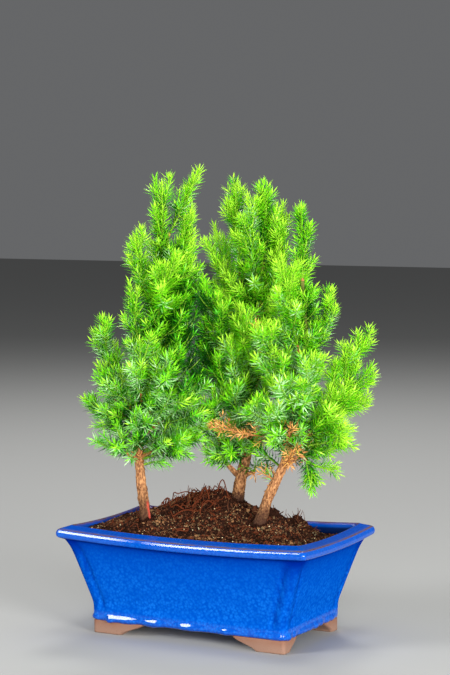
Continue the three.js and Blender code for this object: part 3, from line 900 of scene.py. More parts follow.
@dataclass(frozen=True)
class Branching:
    """Where a bough or a mass of foliage leaves its limb, and where its tip stands."""

    limb: str
    at: float  # share of the limb's length
    bearing: float  # degrees from +X towards the back
    reach: float
    top: float
    size: float  # a bough's radius, or half a mass's width
    fill: float = 1.0  # length of a mass's finer twigs, against their rule

    BEND_OUT = 0.65
    BEND_UP = 0.35
    ARCH = 4.0

    def ends(self, limbs: dict[str, LimbShape]) -> tuple[Array, Array, Array]:
        """The bow's ends: outwards first, then up or down to the tip.

        Args:
            limbs: the trunks and boughs by name.

        Returns:
            Its root, bend and tip.
        """
        root = limbs[self.limb].path.at(self.at)
        turn = np.radians(self.bearing)
        out = np.array([np.cos(turn), np.sin(turn), 0.0]) * self.reach
        bend = root + self.BEND_OUT * out
        bend[2] = lerp(root[2], self.top, self.BEND_UP) + self.ARCH
        tip = root + out
        tip[2] = self.top
        return root, bend, tip

    def shoot(self, limbs: dict[str, LimbShape], thick: float) -> "Shoots":
        """The bow as a lot of one shoot."""
        return Shoots(*(end[None] for end in self.ends(limbs)), np.full(1, thick), np.full(1, self.fill))

    def path(self, limbs: dict[str, LimbShape]) -> Path:
        """The bow as a line."""
        share = np.linspace(0, 1, 120)[:, None]
        return Path(bow(*self.ends(limbs), share))


TRUNKS = {
    "trunk_left": (
        3.9, 1.1, [[-47, -21], [-51, -24, 128], [-49, -22, 171], [-43, -17, 223], [-33, -12, 292]],
    ),
    "trunk_middle": (4.4, 1.2, [[4, 27], [6, 28, 111], [10, 30, 130], [15, 32, 177], [22, 33, 270]]),
    "trunk_right": (
        4.0, 1.2, [[31, 7], [40, 11, 106], [51, 15, 132], [57, 21, 165], [59, 27, 216], [56, 29, 259]],
    ),
}


def branchings(*rows: tuple) -> tuple[Branching, ...]:
    """Branchings from rows of their fields."""
    return tuple(Branching(*row) for row in rows)


# Rows give the limb, share of its length, bearing, reach, top, size and fill of each branching
BOUGHS = {
    f"bough_{name}": Branching(*row)
    for name, row in {
        "left_low": ("trunk_left", 0.3, -145, 17, 168, 1.9),
        "middle_fork": ("trunk_middle", 0.1, -158, 14, 126, 2.3),
        "middle_snag": ("trunk_middle", 0.1, 20, 11, 115, 2.1),
        "middle_second": ("trunk_middle", 0.66, -160, 13, 262, 1.5),
        "right_arm": ("trunk_right", 0.32, 45, 41, 174, 2.6),
        "right_droop": ("trunk_right", 0.24, -12, 17, 134, 1.8),
    }.items()
}

CROWNS = {
    "left": {
        "spire": ("trunk_left", 1, 22, 20, 341, 7, 0.32),
        "leader": ("trunk_left", 0.86, -60, 10, 335, 9, 0.4),
        "outer_upper": ("trunk_left", 0.7, -105, 20, 298, 9, 0.58),
        "inner_upper": ("trunk_left", 0.77, 48, 28, 314, 9, 0.65),
        "shoulder": ("trunk_left", 0.62, -38, 31, 277, 11),
        "outer_mid": ("trunk_left", 0.52, -95, 22, 264, 10, 0.3),
        "inner_mid": ("trunk_left", 0.5, 28, 36, 281, 10, 1.25),
        "far": ("bough_left_low", 1, -130, 11, 238, 10, 0.8),
        "mid": ("trunk_left", 0.36, -112, 31, 198, 12),
        "low": ("trunk_left", 0.26, -155, 38, 176, 12, 0.8),
        "skirt": ("trunk_left", 0.22, -100, 40, 148, 12, 0.55),
        "skirt_inner": ("trunk_left", 0.23, 2, 42, 150, 12, 1.3),
        "front": ("trunk_left", 0.38, -62, 37, 222, 12),
        "front_inner": ("trunk_left", 0.34, -25, 42, 212, 12, 1.5),
        "inner_low": ("trunk_left", 0.3, 14, 48, 192, 12, 1.8),
        "back_low": ("trunk_left", 0.36, 110, 37, 230, 12),
        "back_high": ("trunk_left", 0.64, 102, 24, 289, 10),
    },
    "middle": {
        "leader": ("trunk_middle", 1, -25, 6, 334, 10, 0.85),
        "spire": ("bough_middle_second", 1, -150, 5, 333, 9, 0.75),
        "peak": ("trunk_middle", 0.83, -105, 15, 326, 9, 0.8),
        "right": ("trunk_middle", 0.74, 20, 18, 311, 10, 0.8),
        "back_left": ("trunk_middle", 0.6, 168, 42, 304, 9, 1.2),
        "inner": ("trunk_middle", 0.45, -122, 44, 264, 12, 1.3),
        "left_mid": ("trunk_middle", 0.37, -155, 38, 226, 12, 1.9),
        "front": ("trunk_middle", 0.4, -80, 30, 246, 12),
        "left_low": ("bough_middle_fork", 1, -75, 30, 186, 13, 1.2),
        "skirt": ("trunk_middle", 0.2, -112, 34, 130, 9, 1.15),
        "back_low": ("trunk_middle", 0.27, 142, 38, 214, 12),
        "back_high": ("trunk_middle", 0.64, 118, 26, 292, 10),
    },
    "right": {
        "spire": ("trunk_right", 1, 180, 1, 319, 8, 0.65),
        "outer_upper": ("trunk_right", 0.6, 36, 23, 258, 10, 0.45),
        "front_upper": ("trunk_right", 0.66, -100, 28, 283, 11),
        "front_mid": ("trunk_right", 0.48, -112, 40, 234, 12),
        "front_low": ("trunk_right", 0.39, -40, 34, 213, 12, 0.8),
        "front_inner": ("trunk_right", 0.44, -78, 32, 194, 12),
        "inner_low": ("trunk_right", 0.33, -115, 36, 178, 12),
        "arm_tip": ("bough_right_arm", 1, 60, 17, 224, 12, 1.0),
        "arm_inner": ("bough_right_arm", 0.8, 120, 8, 200, 9, 0.4),
        "outer_low": ("bough_right_arm", 0.55, 36, 32, 178, 12, 1.6),
        "mid": ("trunk_right", 0.37, 8, 44, 156, 12, 1.6),
        "droop": ("bough_right_droop", 1, 30, 13, 108, 11, 1.2),
        "skirt": ("trunk_right", 0.28, 20, 44, 143, 10, 0.35),
        "back_low": ("trunk_right", 0.4, 98, 38, 214, 12),
        "back_high": ("trunk_right", 0.68, 118, 30, 289, 10, 0.7),
    },
}

MASSES = {
    f"foliage_{tree}_{mass}": Branching(*row) for tree, crown in CROWNS.items() for mass, row in crown.items()
}

DEAD_TWIG = Branching("trunk_right", 0.36, -130, 63, 156, 5)

SPRIGS = {
    "left": branchings(
        ("trunk_left", 0.42, 20, 36, 222, 8, 1.5), ("trunk_left", 0.48, 38, 34, 240, 8, 1.5),
        ("trunk_left", 0.36, 30, 40, 206, 8, 1.6), ("trunk_left", 0.27, 14, 46, 163, 8, 1.5),
        ("trunk_left", 0.24, 12, 46, 150, 8, 1.3), ("trunk_left", 0.84, -95, 7, 334, 6, 0.5),
        ("trunk_left", 0.62, 30, 30, 288, 8, 1.2), ("trunk_left", 0.2, 15, 18, 126, 6, 0.9),
        ("trunk_left", 0.25, 8, 54, 156, 9, 1.4), ("trunk_left", 0.22, 4, 48, 148, 9, 1.1),
        ("trunk_left", 0.48, 50, 32, 245, 8, 1.3), ("trunk_left", 0.42, 34, 40, 236, 8, 1.5),
    ),
    "middle": branchings(
        ("bough_middle_snag", 0.9, -30, 5, 121, 5, 0.7), ("bough_middle_snag", 0.9, -140, 5, 118, 5, 0.7),
        ("bough_middle_fork", 0.6, -100, 9, 122, 5), ("bough_middle_fork", 0.8, -60, 8, 128, 5),
        ("trunk_middle", 0.22, -80, 15, 140, 6, 0.9), ("trunk_middle", 0.23, -40, 18, 141, 6, 0.9),
        ("trunk_middle", 0.21, -110, 12, 138, 6, 0.9), ("trunk_middle", 0.34, -165, 44, 196, 8, 1.5),
        ("trunk_middle", 0.76, 12, 19, 304, 8, 1.3), ("trunk_middle", 0.7, -10, 20, 288, 8, 1.3),
        ("trunk_middle", 0.82, 15, 17, 315, 7), ("trunk_middle", 0.2, -170, 31, 142, 7, 1.2),
        ("trunk_middle", 0.24, -150, 36, 162, 8, 1.3), ("trunk_middle", 0.3, -105, 38, 205, 9, 1.3),
        ("trunk_middle", 0.34, -88, 38, 218, 9, 1.3), ("trunk_middle", 0.27, -82, 40, 184, 9, 1.3),
        ("trunk_middle", 0.38, -70, 34, 236, 9, 1.2), ("trunk_middle", 0.4, 165, 44, 232, 9, 1.3),
        ("trunk_middle", 0.42, -165, 42, 246, 9, 1.5), ("trunk_middle", 0.97, -60, 5, 331, 8, 0.8),
    ),
    "right": branchings(
        ("trunk_right", 0.18, 165, 8, 119, 5, 0.7), ("trunk_right", 0.25, 170, 26, 138, 6, 1.1),
        ("bough_right_arm", 1, 25, 22, 196, 8, 1.2), ("trunk_right", 0.33, 5, 46, 146, 8, 1.2),
        ("trunk_right", 0.36, -95, 30, 172, 8, 1.2), ("trunk_right", 0.3, -85, 24, 150, 7, 1.0),
        ("bough_right_arm", 1, 35, 22, 184, 8, 1.1),
    ),
}


@dataclass(frozen=True)
class RootLot:
    """A lot of roots on the soil: how many, their radii, lengths and arches, and the share that is heaped."""

    tint: SoilTint
    count: int
    thick: tuple[float, float]
    length: tuple[float, float]
    arch: tuple[float, float]
    heaped: float


@dataclass
class PeatBed:
    """The soil: a mound under the middle tree, a knoll under the left one, crumbs, root fibres and grains."""

    shape: PotShape = field(default_factory=PotShape)
    finish: MoistPeat = field(default_factory=MoistPeat)
    edge: float = 75.0
    peak: float = 23.0
    peak_x: float = -15.0
    peak_y: float = 23.0
    spread_x: float = 47.0
    spread_y: float = 30.0
    knoll: float = 6.5
    knoll_spread: float = 22.0
    depth: float = 10.0
    fall: float = 6.0  # how much lower it lies at the right end
    crumbs: int = 15000
    grains: int = 150
    seed: int = 31
    heap: tuple[float, float] = (-24.0, 17.0)
    heap_spread: tuple[float, float] = (14.0, 8.0)
    clumps: tuple[tuple[float, float, float, float], ...] = (
        (33.0, 30.0, 5.0, 7.0), (49.0, 37.0, 7.0, 6.0), (58.0, 34.0, 4.0, 6.0), (-9.0, 20.0, 3.0, 9.0),
    )  # place, height and spread of its small clumps
    clump_shares: tuple[float, ...] = (0.5, 0.15, 0.12, 0.08, 0.15)  # of what lies on the heap and each clump
    clods: int = 420
    clod_size: tuple[float, float] = (1.0, 2.4)
    grain_size: tuple[float, float] = (0.3, 0.75)
    flatness: float = 0.8  # of clods and grains
    crumb_flatness: float = 0.7
    collar: int = 70  # crumbs against each trunk's foot
    roots: tuple[RootLot, ...] = (
        RootLot(SoilTint.ROOT, 34, (0.3, 0.6), (14.0, 34.0), (2.0, 7.5), 0.85),
        RootLot(SoilTint.RUST, 190, (0.13, 0.28), (8.0, 20.0), (0.8, 5.5), 0.45),
        RootLot(SoilTint.TAN, 110, (0.1, 0.2), (6.0, 16.0), (0.6, 4.0), 0.3),
    )
    root_turns: int = 7
    root_sink: float = 0.3
    uprights: int = 90
    tallest: float = 6.5  # of the upright shreds
    shred_lean: float = 2.6
    crumb_margin: float = 2.5  # clear of the lip
    root_margin: float = 4.0
    crumb_tints: tuple[SoilTint, ...] = (
        SoilTint.PEAT, SoilTint.BROWN, SoilTint.RUST, SoilTint.OLIVE, SoilTint.TAN,
    )
    crumb_steps: tuple[float, ...] = (-0.6, 0.5, 0.95, 1.6)  # tones at which the next tint starts

    def height(self, x: Array, y: Array) -> Array:
        """Height of the soil: edge + peak exp(-(dx/sx)² - (dy/sy)²) + knoll exp(-d²/s²) + clumps and lumps.

        Args:
            x: places along the pot.
            y: places across it.

        Returns:
            Heights at the places.
        """
        knoll_x, knoll_y = TRUNKS["trunk_left"][2][0]
        mound = np.exp(-(((x - self.peak_x) / self.spread_x) ** 2) - ((y - self.peak_y) / self.spread_y) ** 2)
        knoll = np.exp(-((x - knoll_x) ** 2 + (y - knoll_y) ** 2) / self.knoll_spread**2)
        rng = np.random.default_rng(self.seed)
        lumps = 0.7 * waves([x, y], (11.0, 30.0), 14, rng) + 0.5 * waves([x, y], (3.0, 8.0), 24, rng)
        for place_x, place_y, rise, spread in self.clumps:
            lumps += rise * np.exp(-((x - place_x) ** 2 + (y - place_y) ** 2) / spread**2)
        low_end = self.fall * smoothstep(x + 0.3 * y, 48.0, 88.0)
        return self.edge + self.peak * mound + self.knoll * knoll + lumps - low_end

    def bed(self) -> Surface:
        """The bed: rings from the wall in to the mound's peak, on a skirt that goes down beside the wall.

        Returns:
            The bed, closed.
        """
        s = self.shape
        one = np.ones(1)
        inset = np.full((1, 2), s.lip_width + 1.0)
        rim = s.outlines(self.edge * one, inset, 2.0 * one, 0 * one)[0][0]
        peak = np.array([self.peak_x, self.peak_y, self.edge])
        share = np.linspace(1, 0.01, 90)[:, None, None]
        rings = peak + (rim - peak) * share
        rings[..., 2] = self.height(rings[..., 0], rings[..., 1])
        skirt = rings[:1] * [1, 1, 0] + [0, 0, self.edge - self.depth]
        top = peak.copy()
        top[2] = rings[-1, :, 2].mean()
        return lofted(np.concatenate([skirt, rings]), peak - [0, 0, self.depth], top)

    def half(self, margin: float) -> Array:
        """Half the soil's length and width, less a margin."""
        return np.array([self.shape.half_length, self.shape.half_width]) - self.shape.lip_width - margin

    def grounded(self, flat: Array) -> Array:
        """Points on the soil at level places."""
        return np.column_stack([flat, self.height(flat[:, 0], flat[:, 1])])

    def scatter(self, count: int, rng: np.random.Generator) -> Array:
        """Points anywhere on the soil, clear of the wall."""
        half = self.half(self.crumb_margin)
        return self.grounded(rng.uniform(-half, half, (count, 2)))

    def lumps(self, places: Array, size: Array, flatness: float, rng: np.random.Generator) -> Surface:
        """Broken crumbs: octahedra with each corner drawn in or out, turned any way and half sunk.

        Args:
            places: their middles.
            size: their radii.
            flatness: their thickness, as a share of the radius.
            rng: where their shapes and turns come from.

        Returns:
            The crumbs, joined.
        """
        corners = np.array([[1, 0, 0], [-1, 0, 0], [0, 1, 0], [0, -1, 0], [0, 0, 1], [0, 0, -1]], float)
        upper = [[0, 2, 4], [2, 1, 4], [1, 3, 4], [3, 0, 4]]
        lower = [[2, 0, 5], [1, 2, 5], [3, 1, 5], [0, 3, 5]]
        count = len(places)
        stretch = rng.uniform(0.6, 1.2, (count, 6, 1))
        scale = size[:, None, None] * stretch * [1, rng.uniform(0.6, 1), flatness]
        turns = np.linalg.qr(rng.normal(size=(count, 3, 3)))[0]
        turns *= np.sign(np.linalg.det(turns))[:, None, None]
        points = np.einsum("nij,nkj->nki", turns, corners * scale) + places[:, None]
        return repeated(points, np.array(upper + lower))

    def deal(self, places: Array, rng: np.random.Generator) -> Array:
        """Deals a tint to each crumb: by chance, by light and dark patches, and darkest under the heap, where
        the darkening is painted shade.

        Args:
            places: where the crumbs lie.
            rng: where chance and patches come from.

        Returns:
            The number of each crumb's tint.
        """
        patches = waves([places[:, 0], places[:, 1]], (18.0, 60.0), 10, rng)
        away = (places[:, :2] - self.heap) / self.heap_spread
        shaded = np.exp(-0.4 * (away**2).sum(axis=1))
        # Painted shade: crumbs under the heap are dealt darker.
        tone = rng.normal(0, 1, len(places)) + 0.8 * patches - 1.8 * shaded
        return np.digitize(tone, self.crumb_steps)

    def strands(self, lot: RootLot, rng: np.random.Generator) -> Surface:
        """Crooked roots: each wanders over the soil through a few points, above it between its buried ends.

        Bows from the middle of one step to the middle of the next, bent at the point between, make one line.

        Args:
            lot: how many, and their sizes.
            rng: where their ways come from.

        Returns:
            The roots, joined.
        """
        count, turns = lot.count, self.root_turns
        heaped = rng.random(count) < lot.heaped
        root = self.scatter(count, rng)[:, :2]
        root[heaped] = rng.normal(self.heap, self.heap_spread, (heaped.sum(), 2))
        heading = rng.uniform(0, TURN, (count, 1)) + np.cumsum(rng.normal(0, 1.0, (count, turns)), axis=1)
        step = (rng.uniform(*lot.length, count) / turns)[:, None, None]
        limit = self.half(self.root_margin)
        flat = np.clip(root[:, None] + np.cumsum(compass(heading) * step, axis=1), -limit, limit)
        lift = rng.uniform(*lot.arch, count) * lerp(0.5, 1.0, heaped)
        rise = np.sin(np.linspace(0, np.pi, turns)) * rng.uniform(0.0, 1.6, (count, turns))
        z = self.height(flat[..., 0], flat[..., 1]) - self.root_sink + lift[:, None] * rise
        points = np.concatenate([flat, z[..., None]], axis=-1)
        middles = 0.5 * (points[:, 1:] + points[:, :-1])
        thick = np.repeat(rng.uniform(*lot.thick, count), turns - 2)
        ends = (part.reshape(-1, 3) for part in (middles[:, :-1], points[:, 1:-1], middles[:, 1:]))
        return Shoots(*ends, thick, np.ones(len(thick))).tubes(5, 5, 1.0)

    def heaped(self, count: int, rng: np.random.Generator) -> Array:
        """Points on the heap and the clumps.

        Args:
            count: how many.
            rng: where their places come from.

        Returns:
            The points.
        """
        clumps = ((x, y, 0.7 * spread, 0.7 * spread) for x, y, _, spread in self.clumps)
        centres = np.array([(*self.heap, *self.heap_spread), *clumps])
        chosen = centres[rng.choice(len(centres), count, p=np.array(self.clump_shares))]
        limit = self.half(self.root_margin)
        return self.grounded(np.clip(rng.normal(chosen[:, :2], chosen[:, 2:]), -limit, limit))

    def shreds(self, rng: np.random.Generator) -> Surface:
        """Short shreds of root and moss that stand up from the heap and the clumps, bowed by their lean.

        Args:
            rng: where their places and leans come from.

        Returns:
            The shreds, joined.
        """
        count = self.uprights
        root = self.heaped(count, rng) - [0, 0, 0.5]
        lean = rng.normal(0, 1, (count, 3)) * [self.shred_lean, self.shred_lean, 0]
        rise = np.minimum(rng.gamma(2.0, 1.7, count), self.tallest)[:, None] * UP
        bend = root + 0.6 * rise + lean
        tip = bend + 0.5 * rise + rng.normal(0, 2.0, (count, 3))
        return Shoots(root, bend, tip, rng.uniform(0.15, 0.5, count), np.ones(count)).tubes(6, 5, 0.5)

    def collars(self, rng: np.random.Generator) -> Array:
        """Points close round the foot of each trunk.

        Args:
            rng: where they stray.

        Returns:
            The points.
        """
        places = []
        for foot, _, ((x, y), *_) in TRUNKS.values():
            turn = rng.uniform(0, TURN, self.collar)
            away = 1.15 * foot + np.abs(rng.normal(0, 1.3, self.collar))
            places.append(self.grounded(np.array([x, y]) + compass(turn) * away[:, None]) + [0, 0, 0.5])
        return np.concatenate(places)

    def build(self) -> None:
        """Makes the bed and joins what lies on it by colour."""
        self.bed().piece("soil_bed", self.finish.material(), "soil", ["soil"])
        rng = np.random.default_rng(self.seed + 1)
        finish = self.finish
        tints = {}
        for tint in SoilTint:
            plain = PlainTint(f"soil {tint.name.lower()}", tint.value, finish.roughness, finish.specular)
            tints[tint] = plain.material()
        places = self.scatter(self.crumbs, rng)
        dealt = self.deal(places, rng)
        for number, tint in enumerate(self.crumb_tints):
            chosen = places[dealt == number]
            crumbs = self.lumps(chosen, rng.gamma(2.2, 0.27, len(chosen)), self.crumb_flatness, rng)
            crumbs.piece(f"soil_crumbs_{tint.name.lower()}", tints[tint], "soil", ["soil"], smooth=False)
        for lot in self.roots:
            self.strands(lot, rng).piece(f"roots_{lot.tint.name.lower()}", tints[lot.tint], "soil", ["soil"])
        self.shreds(rng).piece("soil_shreds", tints[SoilTint.BROWN], "soil", ["soil"])
        places = np.concatenate([self.heaped(self.clods, rng), self.collars(rng)])
        clods = self.lumps(places, rng.uniform(*self.clod_size, len(places)), self.flatness, rng)
        clods.piece("soil_clods", tints[SoilTint.PEAT], "soil", ["soil"], smooth=False)
        places = self.scatter(self.grains, rng) + [0, 0, 0.4]
        grains = self.lumps(places, rng.uniform(*self.grain_size, len(places)), self.flatness, rng)
        grains.piece("pale_grains", tints[SoilTint.PALE], "soil", ["soil"], smooth=False)


@dataclass
class Shoots:
    """Many shoots as arrays, each a bow from its root past its bend to its tip, with a radius at its root."""

    root: Array
    bend: Array
    tip: Array
    thick: Array
    fill: Array

    @property
    def count(self) -> int:
        """How many shoots."""
        return len(self.root)

    @property
    def length(self) -> Array:
        """Length of each bow, near enough the mean of its chord and its two legs."""
        legs = np.linalg.norm(self.bend - self.root, axis=1) + np.linalg.norm(self.tip - self.bend, axis=1)
        return 0.5 * (legs + np.linalg.norm(self.tip - self.root, axis=1))

    def at(self, which: Array, share: Array) -> Array:
        """Points of some shoots, by their numbers, at shares of their bows."""
        return bow(self.root[which], self.bend[which], self.tip[which], share[:, None])

    def heading(self, which: Array, share: Array) -> Array:
        """Directions of some shoots, by their numbers, at shares of their bows."""
        return bow_heading(self.root[which], self.bend[which], self.tip[which], share[:, None])

    def pick(self, keep: Array) -> "Shoots":
        """Some of the shoots."""
        return Shoots(self.root[keep], self.bend[keep], self.tip[keep], self.thick[keep], self.fill[keep])

    def part(self, start: Array | float, stop: Array | float, thick: float) -> "Shoots":
        """The stretches of the bows between two shares, by their polar form.

        Args:
            start: share of the bow at which each stretch starts.
            stop: share at which it stops.
            thick: its radius at its root.

        Returns:
            The stretches, as shoots.
        """
        s = np.broadcast_to(start, self.count)[:, None]
        t = np.broadcast_to(stop, self.count)[:, None]
        bend = (1 - s) * (1 - t) * self.root + (s + t - 2 * s * t) * self.bend + s * t * self.tip
        ends = [bow(self.root, self.bend, self.tip, share) for share in (s, t)]
        return Shoots(ends[0], bend, ends[1], np.full(self.count, thick), self.fill)

    @staticmethod
    def joined(parts: list["Shoots"]) -> "Shoots":
        """Several lots of shoots as one."""
        names = ("root", "bend", "tip", "thick", "fill")
        return Shoots(*(np.concatenate([getattr(part, name) for part in parts]) for name in names))

    def tubes(self, rings: int, sides: int, taper: float) -> Surface:
        """Slim closed tubes along the shoots.

        Args:
            rings: how many rings of points each has.
            sides: how many points each ring has.
            taper: radius at the tip, as a share of the root's.

        Returns:
            The tubes, joined.
        """
        share = np.linspace(0, 1, rings)
        ends = self.root[:, None], self.bend[:, None], self.tip[:, None]
        centre = bow(*ends, share[:, None])
        heading = bow_heading(*ends, share[:, None])
        chord = unit(self.tip - self.root)
        axis = np.eye(3)[np.argmin(np.abs(chord), axis=1)][:, None]
        side = unit(np.cross(heading, axis))
        across = np.cross(heading, side)
        turn = np.arange(sides) / sides * TURN
        radius = self.thick[:, None, None, None] * lerp(1.0, taper, share)[:, None, None]
        ring = side[:, :, None] * np.cos(turn)[:, None] + across[:, :, None] * np.sin(turn)[:, None]
        skin = centre[:, :, None] + ring * radius
        one = lofted(skin[0], centre[0, 0], centre[0, -1])
        points = np.concatenate([skin.reshape(self.count, -1, 3), centre[:, [0, -1]]], axis=1)
        return repeated(points, *one.faces)


@dataclass
class Limbs:
    """Trunks and boughs, in bark with real relief."""

    finish: JuniperBark = field(default_factory=JuniperBark)
    flare: float = 0.2
    bough_tip: float = 0.6
    sides: int = 64
    rings: int = 300
    plate: float = 0.34  # height of the bark's plates
    lump: float = 0.07  # swellings, as a share of the radius
    darker_foot_heights: tuple[float, ...] = (30.0, 13.0, 26.0)  # of the left, middle and right trunk
    streak_height: tuple[float, float] = (1.0, 19.0)
    streak_turn: float = np.radians(-10.0)
    bough_rings: int = 90
    crowding: float = 1.4  # how much closer a trunk's rings stand at its foot
    upright: float = 0.12  # share of a trunk over which its rings turn from level to square
    full_relief: float = 4.0  # radius from which the relief is full
    fine: float = 0.2  # height of the finest flakes
    green_from: tuple[float, float] = (170.0, 230.0)  # heights over which the bark turns young and green
    seed: int = 5
    shapes: dict[str, LimbShape] = field(default_factory=dict)

    def plan(self) -> dict[str, LimbShape]:
        """Works out every limb's line, trunks first, each trunk standing where its node's foot does.

        Returns:
            The limbs by name.
        """
        for name, (foot, tip, ((x, y), *rest)) in TRUNKS.items():
            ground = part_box(name)[0].z / MM
            line = through(np.array([[x, y, ground], *rest], float))
            self.shapes[name] = LimbShape(name, line, foot, tip, self.flare)
        for name, bough in BOUGHS.items():
            line = bough.path(self.shapes)
            self.shapes[name] = LimbShape(name, line, bough.size, bough.size * self.bough_tip)
        return self.shapes

    def skin(self, limb: LimbShape, rng: np.random.Generator) -> Surface:
        """A limb's bark: rings square to its line, whose radius carries swellings and broken plates.

        The plates are 1 - 2|w|, w being waves drawn out along the limb, so that furrows part flat ridges.

        Args:
            limb: the trunk or bough.
            rng: where its relief comes from.

        Returns:
            The bark, closed, with its furrow, foot-darkening, streak and young shares.
        """
        trunk = limb.flare > 0
        rings, crowding = (self.rings, self.crowding) if trunk else (self.bough_rings, 1.0)
        share = np.linspace(0, 1, rings) ** crowding
        turn = np.arange(self.sides) / self.sides * TURN
        heading = limb.path.heading(share)
        level = (1 - smoothstep(share, 0, self.upright))[:, None] if trunk else 0.0
        heading = unit(lerp(heading, UP, level))
        side, across = square_to(heading)
        if trunk:
            side = unit(np.array([1.0, 0, 0]) - heading * heading[:, :1])
            across = np.cross(heading, side)
        radius = limb.radius(share)[:, None]
        ring = side[:, None] * np.cos(turn)[:, None] + across[:, None] * np.sin(turn)[:, None]
        along = np.broadcast_to(share[:, None] * limb.path.length, (len(share), self.sides))
        girth = [np.cos(turn) * limb.foot + 0 * along, np.sin(turn) * limb.foot + 0 * along]
        swell = waves([*girth, along], (7.0, 20.0), 12, rng)
        plates = 1 - 2 * np.abs(waves([*girth, along * 0.5], (1.8, 4.0), 18, rng))
        fine = waves([*girth, along * 0.7], (0.8, 1.7), 24, rng)
        thin = np.clip(radius / self.full_relief, 0.25, 1)
        relief = thin * (self.plate * np.clip(plates, -1, 0.5) + self.fine * fine)
        lift = self.lump * radius * swell + relief
        skin = limb.path.at(share)[:, None] + ring * (radius + lift)[..., None]
        furrow = 0.32 * smoothstep(-plates, 0.1, 1.1) + 0.16 * smoothstep(-fine, 0.2, 1.4)
        darker_foot = np.zeros_like(along)
        if trunk:
            top = self.darker_foot_heights[list(TRUNKS).index(limb.name)]
            ragged = along + 0.13 * top * fine
            darker_foot = 0.75 * (1 - smoothstep(ragged, 0.3 * top, top)) + 0.25 * np.exp(-along / 8)
        low, high = self.streak_height
        band = smoothstep(along, low - 3, low + 2) * (1 - smoothstep(along, high - 6, high))
        away = np.abs(np.angle(np.exp(1j * (turn - self.streak_turn))))
        streak = 0.7 * band * (1 - smoothstep(away + 0.12 * fine, 0.05, 0.5)) * (limb.name == "trunk_left")
        young = 0.85 * smoothstep(skin[..., 2], *self.green_from)
        values = {"furrow": furrow, "darker_foot": darker_foot, "streak": streak, "young": young}
        return lofted(skin, limb.path.at(0.0), limb.path.at(1.0), values)

    def build(self) -> None:
        """Makes every limb's piece."""
        bark = self.finish.material()
        rng = np.random.default_rng(self.seed)
        for name, limb in self.shapes.items():
            self.skin(limb, rng).piece(f"bark_{name}", bark, "bark", [name])


class Seeded:
    """The source's number generator: x becomes 1664525 x + 1013904223 modulo 2³²."""

    def __init__(self, seed: int) -> None:
        """Starts from a seed."""
        self.state = seed

    def __call__(self) -> float:
        """The next number from 0 to 1."""
        self.state = (self.state * 1664525 + 1013904223) % 2**32
        return self.state / 2**32


@dataclass(frozen=True)
class GrowthRule:
    """The source's rule for the side shoots of a mass."""

    seed: int = 20
    first: float = 0.14
    last: float = 0.74
    spacing: float = 26.0
    length: float = 30.0
    stray: float = 0.3
    lift: float = 0.6
    wide: float = 1.3
    narrow: float = 0.7
    stem_root: float = 1.5
    side_root: float = 1.0

    def sprout(
        self, root: Array, ahead: Array, turn: Array, length: Array, slant: Array, lift: Array | float
    ) -> tuple[Array, Array]:
        """Shoots that leave their parent at a slant and then turn up.

        Args:
            root: where each leaves its parent.
            ahead: the parent's heading there.
            turn: the angle round the parent.
            length: the shoot's length.
            slant: sine of its angle to the parent.
            lift: how strongly its outer half turns up.

        Returns:
            The bend and the tip of each.
        """
        out = around(ahead, turn)
        away = ahead * np.sqrt(1 - slant**2)[:, None] + out * slant[:, None]
        turned = unit(away + np.broadcast_to(lift, len(root))[:, None] * UP)
        bend = root + away * length[:, None] / 2
        return bend, bend + turned * length[:, None] / 2

    def sides(self, mass: Branching, limbs: dict[str, LimbShape], order: int) -> tuple[Shoots, Shoots]:
        """A mass's stem and its side shoots, in turn by the golden angle.

        Args:
            mass: where the mass leaves its limb.
            limbs: the trunks and boughs by name.
            order: the mass's number in the source, which seeds its stray.

        Returns:
            The stem and the side shoots.
        """
        stem = mass.path(limbs)
        random = Seeded(self.seed + order)
        count = max(2, int(stem.length * (self.last - self.first) / self.spacing + 0.5) + 1)
        first_turn = random() * TURN
        share, turn, length = np.zeros(count), np.zeros(count), np.zeros(count)
        for i in range(count):
            share[i] = lerp(self.first, self.last, (i + 0.5 * random()) / count)
            turn[i] = first_turn + i * GOLDEN_ANGLE + (random() - 0.5) * 0.5
            full = self.length * (1 + self.stray * (random() - 0.5))
            length[i] = min(full, 5 + stem.length * (1 - share[i]))
        spread = mass.size * lerp(self.wide, self.narrow, share)
        base = stem.at(share)
        slant = np.minimum(spread / length, 0.8)
        ends = self.sprout(base, stem.heading(share), turn, length, slant, self.lift)
        main = mass.shoot(limbs, self.stem_root)
        return main, Shoots(base, *ends, np.full(count, self.side_root), np.full(count, mass.fill))


@dataclass(frozen=True)
class TwigRule:
    """The same rule carried on to finer twigs."""

    spacing: float
    first: float
    last: float
    length: float
    slant: float
    lift: float
    thick: float


